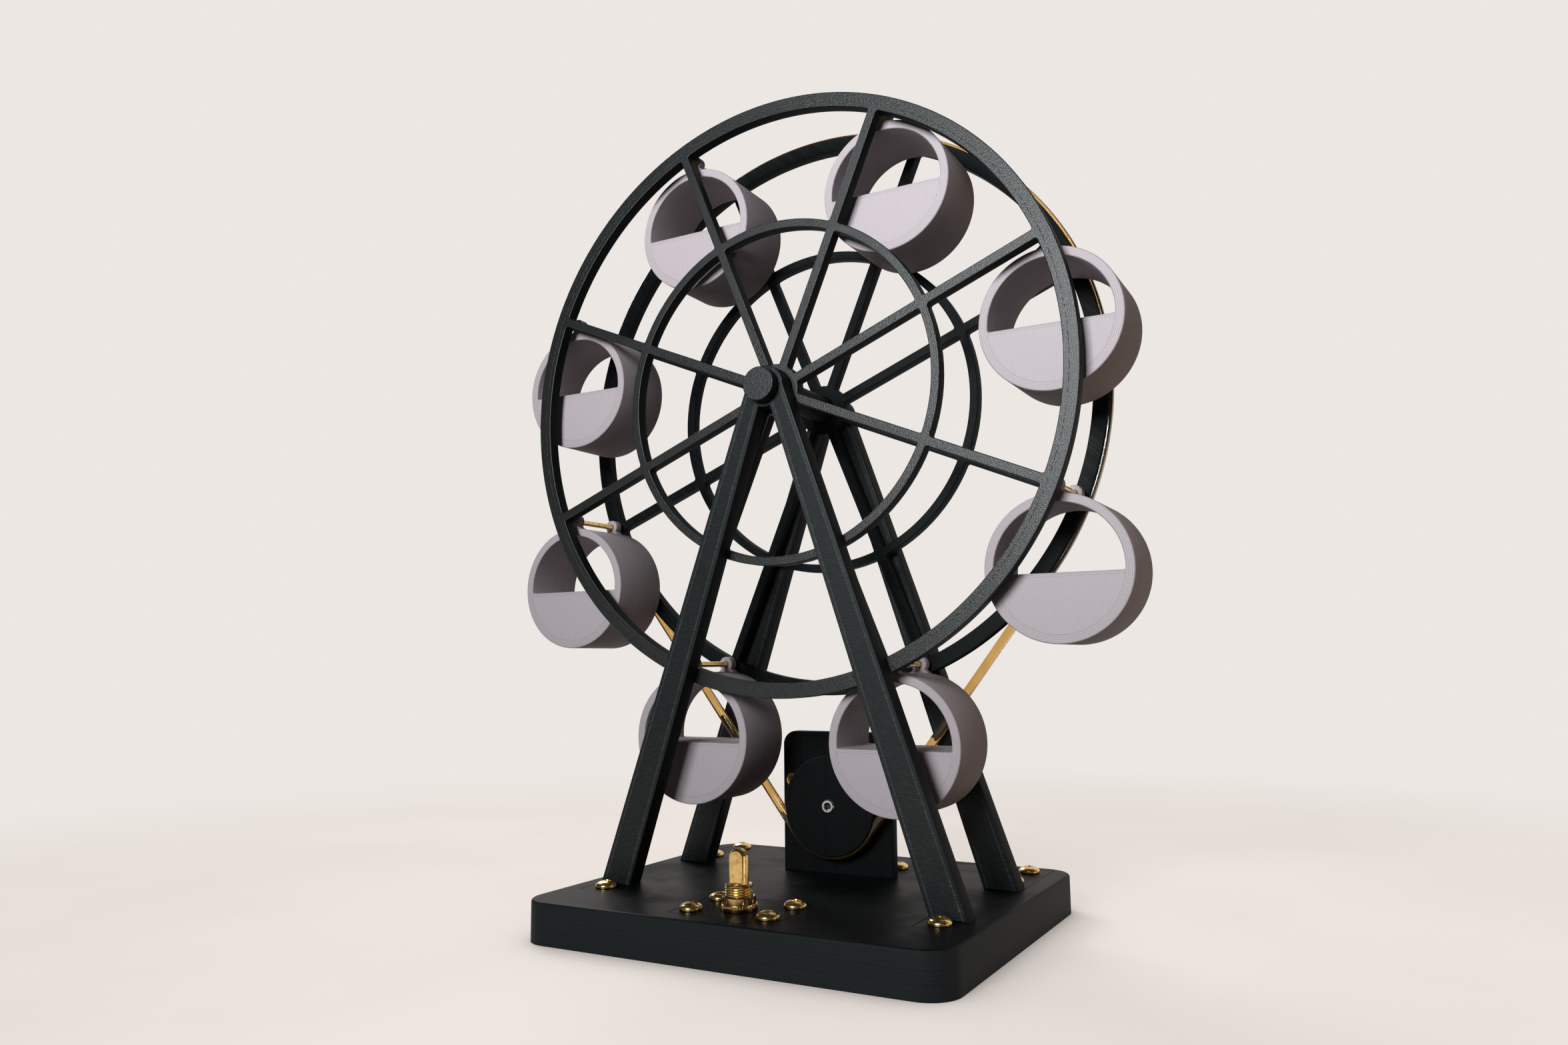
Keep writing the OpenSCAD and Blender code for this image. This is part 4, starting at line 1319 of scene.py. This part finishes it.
def makeCan(canZ, face, rear):
    r, s = motorShape["can"], motorShape["seam"]
    split = face + motorShape["gearbox"]
    profile = [(0, face)] + easedEdge(r, face, motorShape["faceEase"], 1)
    profile += [(r, split - s), (r - s, split), (r, split + s)]
    profile += easedEdge(r, rear, motorShape["ease"], -1, motorShape["bow"])
    inner, outer = motorShape["dish"]
    slope, bottom = motorShape["dishSlope"], rear - motorShape["dishDepth"]
    profile += [(r * outer, rear), (r * (outer - slope), bottom), (r * (inner + slope), bottom),
                (r * inner, rear), (0, rear)]
    return turnProfile("gearMotor", profile, 96, (0, 0, canZ))


def makeEars(canZ, face, reach):
    r = motorShape["ear"]
    outline = arc(reach, canZ, r, -math.pi / 2, math.pi / 2, 16)
    outline += arc(-reach, canZ, r, math.pi / 2, 1.5 * math.pi, 16)
    holes = [ringOutline(x, canZ, motorShape["earHole"], 24, hole=True) for x in (-reach, reach)]
    return cutPlate("motorEars", [outline] + holes, face, face + motorShape["earThick"],
                    motorShape["earEdge"])


def makeBoss(front, face):
    r, bore = motorShape["boss"], motorShape["bossBore"]
    profile = [(bore, front)] + easedEdge(r, front, motorShape["bossEase"], 1)
    return turnProfile("motorBoss", profile + [(r, face), (bore, face), (bore, front)], 48, pulleyAxis)


def makeMotor():
    low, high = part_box("gearmotor")
    canZ = high.z - motorShape["can"]
    face = depth("motor_bracket")[0] + bracketShape["thick"]
    rear = high.y
    metal = [makeCan(canZ, face, rear), makeEars(canZ, face, (high.x - low.x) / 2 - motorShape["ear"]),
             makeBoss(low.y, face)]
    skins = [canSteel, terminalPlastic]
    for part in metal:
        paintFaces(part, skins, lambda f: 0)
    tabs = []
    half = solderTab["half"]
    for x in (-solderTab["apart"], solderTab["apart"]):
        tab = addBlock("solderTab", (x - half, rear - solderTab["thick"], canZ + solderTab["low"]),
                       (x + half, rear - solderTab["sunk"], canZ + solderTab["high"]))
        bevelEdges(tab, solderTab["edge"], 2, lambda a, b: True)
        paintFaces(tab, skins, lambda f: 1)
        tabs.append(tab)
    can = joinInto(metal[0], metal[1:] + tabs)
    smoothEdges(can)
    standFor(can, "steel", "stand", "gearmotor")


makeMotor()
print("motor ready")


# rotary control at the front
controlShape = {
    "neck": 4.4 * mm,
    "neckTop": 0.5 * mm,            # plain ring above the thread
    "neckEase": 0.35 * mm,
    "neckBead": 0.05 * mm,          # small step under that ring
    "thread": 0.76 * mm,            # pitch
    "threadDepth": 0.34 * mm,
    "threadCrest": (0.42, 0.58),    # in shares of the pitch
    "threadFree": 0.8 * mm,         # height of the neck that gets no thread
    "collar": 5.2 * mm,
    "collarEase": 0.3 * mm,
    "nutHeight": 2.2 * mm,
    "nutEdge": 0.1 * mm,
    "nutGap": 0.02 * mm,
    "knurls": 42,
    "knurlDepth": 0.28 * mm,
    "knob": 3.05 * mm,
    "knobGap": 0.08 * mm,
    "flatIn": 2.15 * mm,            # flat from the shaft's middle
    "flatStop": 0.1 * mm,           # flat ends this far above the neck
    "flatTurn": -3,                 # degrees
    "dome": 2.4 * mm,
}
controlPlace = middle("control_shaft")
controlAxis = (controlPlace.x, controlPlace.y, 0)


def makeNut():
    low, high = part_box("control_nut")
    r = (high.x - low.x) / 2
    tall = controlShape["nutHeight"]
    points = 4 * controlShape["knurls"]
    freshStart()
    bpy.ops.mesh.primitive_cylinder_add(vertices=points, radius=r, depth=tall,
                                        location=(controlPlace.x, controlPlace.y, low.z + tall / 2))
    nut = bpy.context.object
    nut.name = "knurledNut"
    applyPlace(nut)
    shrink = 1 - controlShape["knurlDepth"] / r
    for point in nut.data.vertices:       # two upright edges in every four go in
        across = Vector((point.co.x - controlPlace.x, point.co.y - controlPlace.y))
        step = round(math.atan2(across.y, across.x) / (tau / points))
        if step % 4 > 1:
            point.co.x = controlPlace.x + across.x * shrink
            point.co.y = controlPlace.y + across.y * shrink
    bevelEdges(nut, controlShape["nutEdge"], 2, lambda a, b: abs(a.z - b.z) < nearEnough)
    c, e = controlShape["collar"], controlShape["collarEase"]
    bore = controlShape["neck"] + controlShape["nutGap"]
    profile = [(bore, low.z)] + easedEdge(c, low.z, e, 1) + easedEdge(c, high.z, e, -1)
    profile += [(bore, high.z), (bore, low.z)]
    collar = turnProfile("nutCollar", profile, 64, controlAxis, alongY=False)
    for part in (nut, collar):
        part.data.materials.append(darkBrass)
    joinInto(nut, [collar])
    smoothEdges(nut, 28)
    standFor(nut, "brass", "stand", "control_nut")


def makeNeck():
    # a real helix: one tooth of the thread is screwed up the neck
    low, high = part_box("control_bushing")
    pitch, r = controlShape["thread"], controlShape["neck"]
    root = r - controlShape["threadDepth"]
    turns = int((high.z - topZ - controlShape["threadFree"]) / pitch)
    crest = [(r, 0, pitch * share) for share in controlShape["threadCrest"]]
    mesh = bpy.data.meshes.new("threadTooth")
    mesh.from_pydata([(root, 0, 0)] + crest + [(root, 0, pitch)], [(0, 1), (1, 2), (2, 3)], [])
    thread = bpy.data.objects.new("threadedNeck", mesh)
    scene.collection.objects.link(thread)
    useModifier(thread, "SCREW", axis="Z", angle=tau, screw_offset=pitch, iterations=turns, steps=48,
                render_steps=48, use_merge_vertices=True, merge_threshold=0.005 * mm,
                use_smooth_shade=True)
    ring = high.z - controlShape["neckTop"]
    start = ring - (turns + 1) * pitch
    thread.data.transform(Matrix.Translation((controlPlace.x, controlPlace.y, start)))
    cleanMesh(thread)
    inner = controlShape["knob"] + controlShape["knobGap"]
    bead = controlShape["neckBead"]
    profile = [(inner, low.z), (root, low.z), (root, ring - bead), (r - bead, ring),
               (r - controlShape["neckEase"], high.z), (inner, high.z), (inner, low.z)]
    core = turnProfile("neckCore", profile, 64, controlAxis, alongY=False)
    for part in (core, thread):
        part.data.materials.append(brass)
    joinInto(core, [thread])
    core.name = "threadedNeck"
    smoothEdges(core, 40)
    standFor(core, "brass", "stand", "control_bushing")


def makeKnobShaft():
    low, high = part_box("control_shaft")
    r = controlShape["knob"]
    rise = controlShape["dome"]
    ball = (rise ** 2 + r ** 2) / (2 * rise)
    start = math.acos(r / ball)
    dome = [(ball * math.cos(a), high.z - ball + ball * math.sin(a))
            for a in (start + (math.pi / 2 - start) * k / 12 for k in range(13))]
    profile = [(0, low.z), (r, low.z)] + dome[:-1] + [(0, high.z)]
    shaft = turnProfile("controlShaft", profile, 64, controlAxis, alongY=False)
    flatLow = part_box("control_bushing")[1].z + controlShape["flatStop"]
    flat = addBlock("flatCut", (-2 * r, -3 * r, flatLow),
                    (2 * r, -controlShape["flatIn"], high.z + cutOver))
    flat.data.transform(Matrix.Translation(controlAxis) @
                        Matrix.Rotation(-math.radians(controlShape["flatTurn"]), 4, "Z"))
    cutWith(shaft, flat)
    shaft.data.materials.clear()
    shaft.data.materials.append(brass)
    smoothEdges(shaft)
    standFor(shaft, "brass", "control", "control_shaft")


makeNut()
makeNeck()
makeKnobShaft()
print("control ready")


# pieces that keep their CAD shape
def dress(node, material):
    nodes[node].data.materials.clear()
    nodes[node].data.materials.append(material)


dress("base_cover", baseTop)
dress("cover_screws", brass)
dress("control_body", canSteel)
dress("battery_pack", darkMaterial("cellWrap", (0.03, 0.06, 0.2), 0.35))
dress("driver_board", darkMaterial("boardGreen", (0.01, 0.07, 0.03), 0.45))
print("inner pieces dressed")


# plain pale floor that fades into the background
stageLook = {
    "floor": (0.80, 0.735, 0.69),
    "back": (0.84, 0.80, 0.765),
    "bounce": (0.085, 0.077, 0.071),    # what the floor throws back onto the part
    "room": (0.05, 0.05, 0.05),         # dim side of the room, behind the camera
    "fill": (0.014, 0.014, 0.014),      # soft light from all round
    "shadowed": (0.44, 0.405, 0.38),    # share of the floor that the lamps and shadows work on
    "mottle": 0.96,                     # faint clouds on the floor
    "glow": 0.83,
    "lift": 0.026,                      # soft light that rises from the floor
    "contact": 0.09,                    # reach of the soft shadow round the base
    "fadeFrom": 0.20,
    "fadeTo": 0.62,
    "reach": 6.0,
}
lamps = {
    "keyLamp": {
        "place": (0.0, -0.89, 0.42), "target": (0.107, 0, 0.427), "size": (0.36, 0.30),
        "power": 2.75, "color": (0.95, 0.985, 1.0), "spread": 80,
    },
    "backLamp": {
        "place": (-0.80, 0.52, 0.80), "target": (-0.02, 0, 0.15), "size": (0.50, 0.40),
        "power": 1.4, "color": (1.0, 0.98, 0.96), "spread": 90,
    },
    "sideLamp": {
        "place": (0.42, 0.0, 0.06), "target": (0.05, 0, 0.12), "size": (0.16, 0.10),
        "power": 0.05, "color": (1.0, 0.70, 0.45), "spread": 130,
    },
}


def seenRay(tree):
    # 1 for rays that show the background: straight, mirrored or through clear stuff
    path = tree.nodes.new("ShaderNodeLightPath")
    shown = mathNode(tree, "MAXIMUM", path.outputs["Is Camera Ray"], path.outputs["Is Glossy Ray"])
    return mathNode(tree, "MAXIMUM", shown, path.outputs["Is Transmission Ray"])


def makeStage():
    freshStart()
    bpy.ops.mesh.primitive_plane_add(size=2 * stageLook["reach"], location=(0, 0, 0))
    floor = bpy.context.object
    floor.name = "paleFloor"
    material, tree, shader, coords = startMaterial("paleFloor", Roughness=0.65, Specular_IOR_Level=0.0)
    seen = seenRay(tree)
    cloud = rangeNode(tree, noiseNode(tree, coords["Object"], 9.0, 5.0), 0.3, 0.7)

    def mottled(color):
        return mixColor(tree, cloud, color, tuple(stageLook["mottle"] * c for c in color))

    away = vectorNode(tree, "LENGTH", coords["Object"])
    far = rangeNode(tree, away, stageLook["fadeFrom"], stageLook["fadeTo"])
    near = mixColor(tree, seen, stageLook["bounce"], mottled(stageLook["shadowed"]))
    lit = mixColor(tree, far, near, (0, 0, 0))
    back = mixColor(tree, far, mottled(stageLook["floor"]), stageLook["back"])
    glow = mathNode(tree, "MULTIPLY_ADD", far, 1 - stageLook["glow"], stageLook["glow"])
    corner = tree.nodes.new("ShaderNodeAmbientOcclusion")
    corner.inputs["Distance"].default_value = stageLook["contact"]
    glow = mathNode(tree, "MULTIPLY", glow, rangeNode(tree, corner.outputs["AO"], 0.0, 1.0))
    shown = mathNode(tree, "MAXIMUM", seen, stageLook["lift"])
    feedShader(tree, shader, Base_Color=lit, Emission_Color=back,
               Emission_Strength=mathNode(tree, "MULTIPLY", shown, glow))
    floor.data.materials.append(material)


def addLamp(name, place, target, size, power, color, spread):
    data = bpy.data.lights.new(name, "AREA")
    data.shape = "RECTANGLE"
    data.size, data.size_y = size
    data.spread = math.radians(spread)
    data.energy = power
    data.color = color
    lamp = bpy.data.objects.new(name, data)
    scene.collection.objects.link(lamp)
    lamp.location = place
    lamp.rotation_euler = (Vector(target) - Vector(place)).to_track_quat("-Z", "Y").to_euler()


def lightWorld():
    # a pale backdrop behind the part and a dim room in front of it
    world = bpy.data.worlds.new("paleRoom")
    scene.world = world
    world.use_nodes = True
    tree = world.node_tree
    coords = tree.nodes.new("ShaderNodeTexCoord")
    split = tree.nodes.new("ShaderNodeSeparateXYZ")
    tree.links.new(coords.outputs["Generated"], split.inputs["Vector"])
    behind = rangeNode(tree, split.outputs["Y"], 0.1, 0.6)
    mirrored = mixColor(tree, behind, stageLook["room"], stageLook["back"])
    path = tree.nodes.new("ShaderNodeLightPath")
    sharp = mathNode(tree, "MAXIMUM", path.outputs["Is Glossy Ray"], path.outputs["Is Transmission Ray"])
    around = mixColor(tree, sharp, stageLook["fill"], mirrored)
    shown = mixColor(tree, path.outputs["Is Camera Ray"], around, stageLook["back"])
    tree.links.new(shown, tree.nodes["Background"].inputs["Color"])


makeStage()
for name, settings in lamps.items():
    addLamp(name, **settings)
lightWorld()
scene.view_settings.view_transform = "Standard"
print("stage lit")
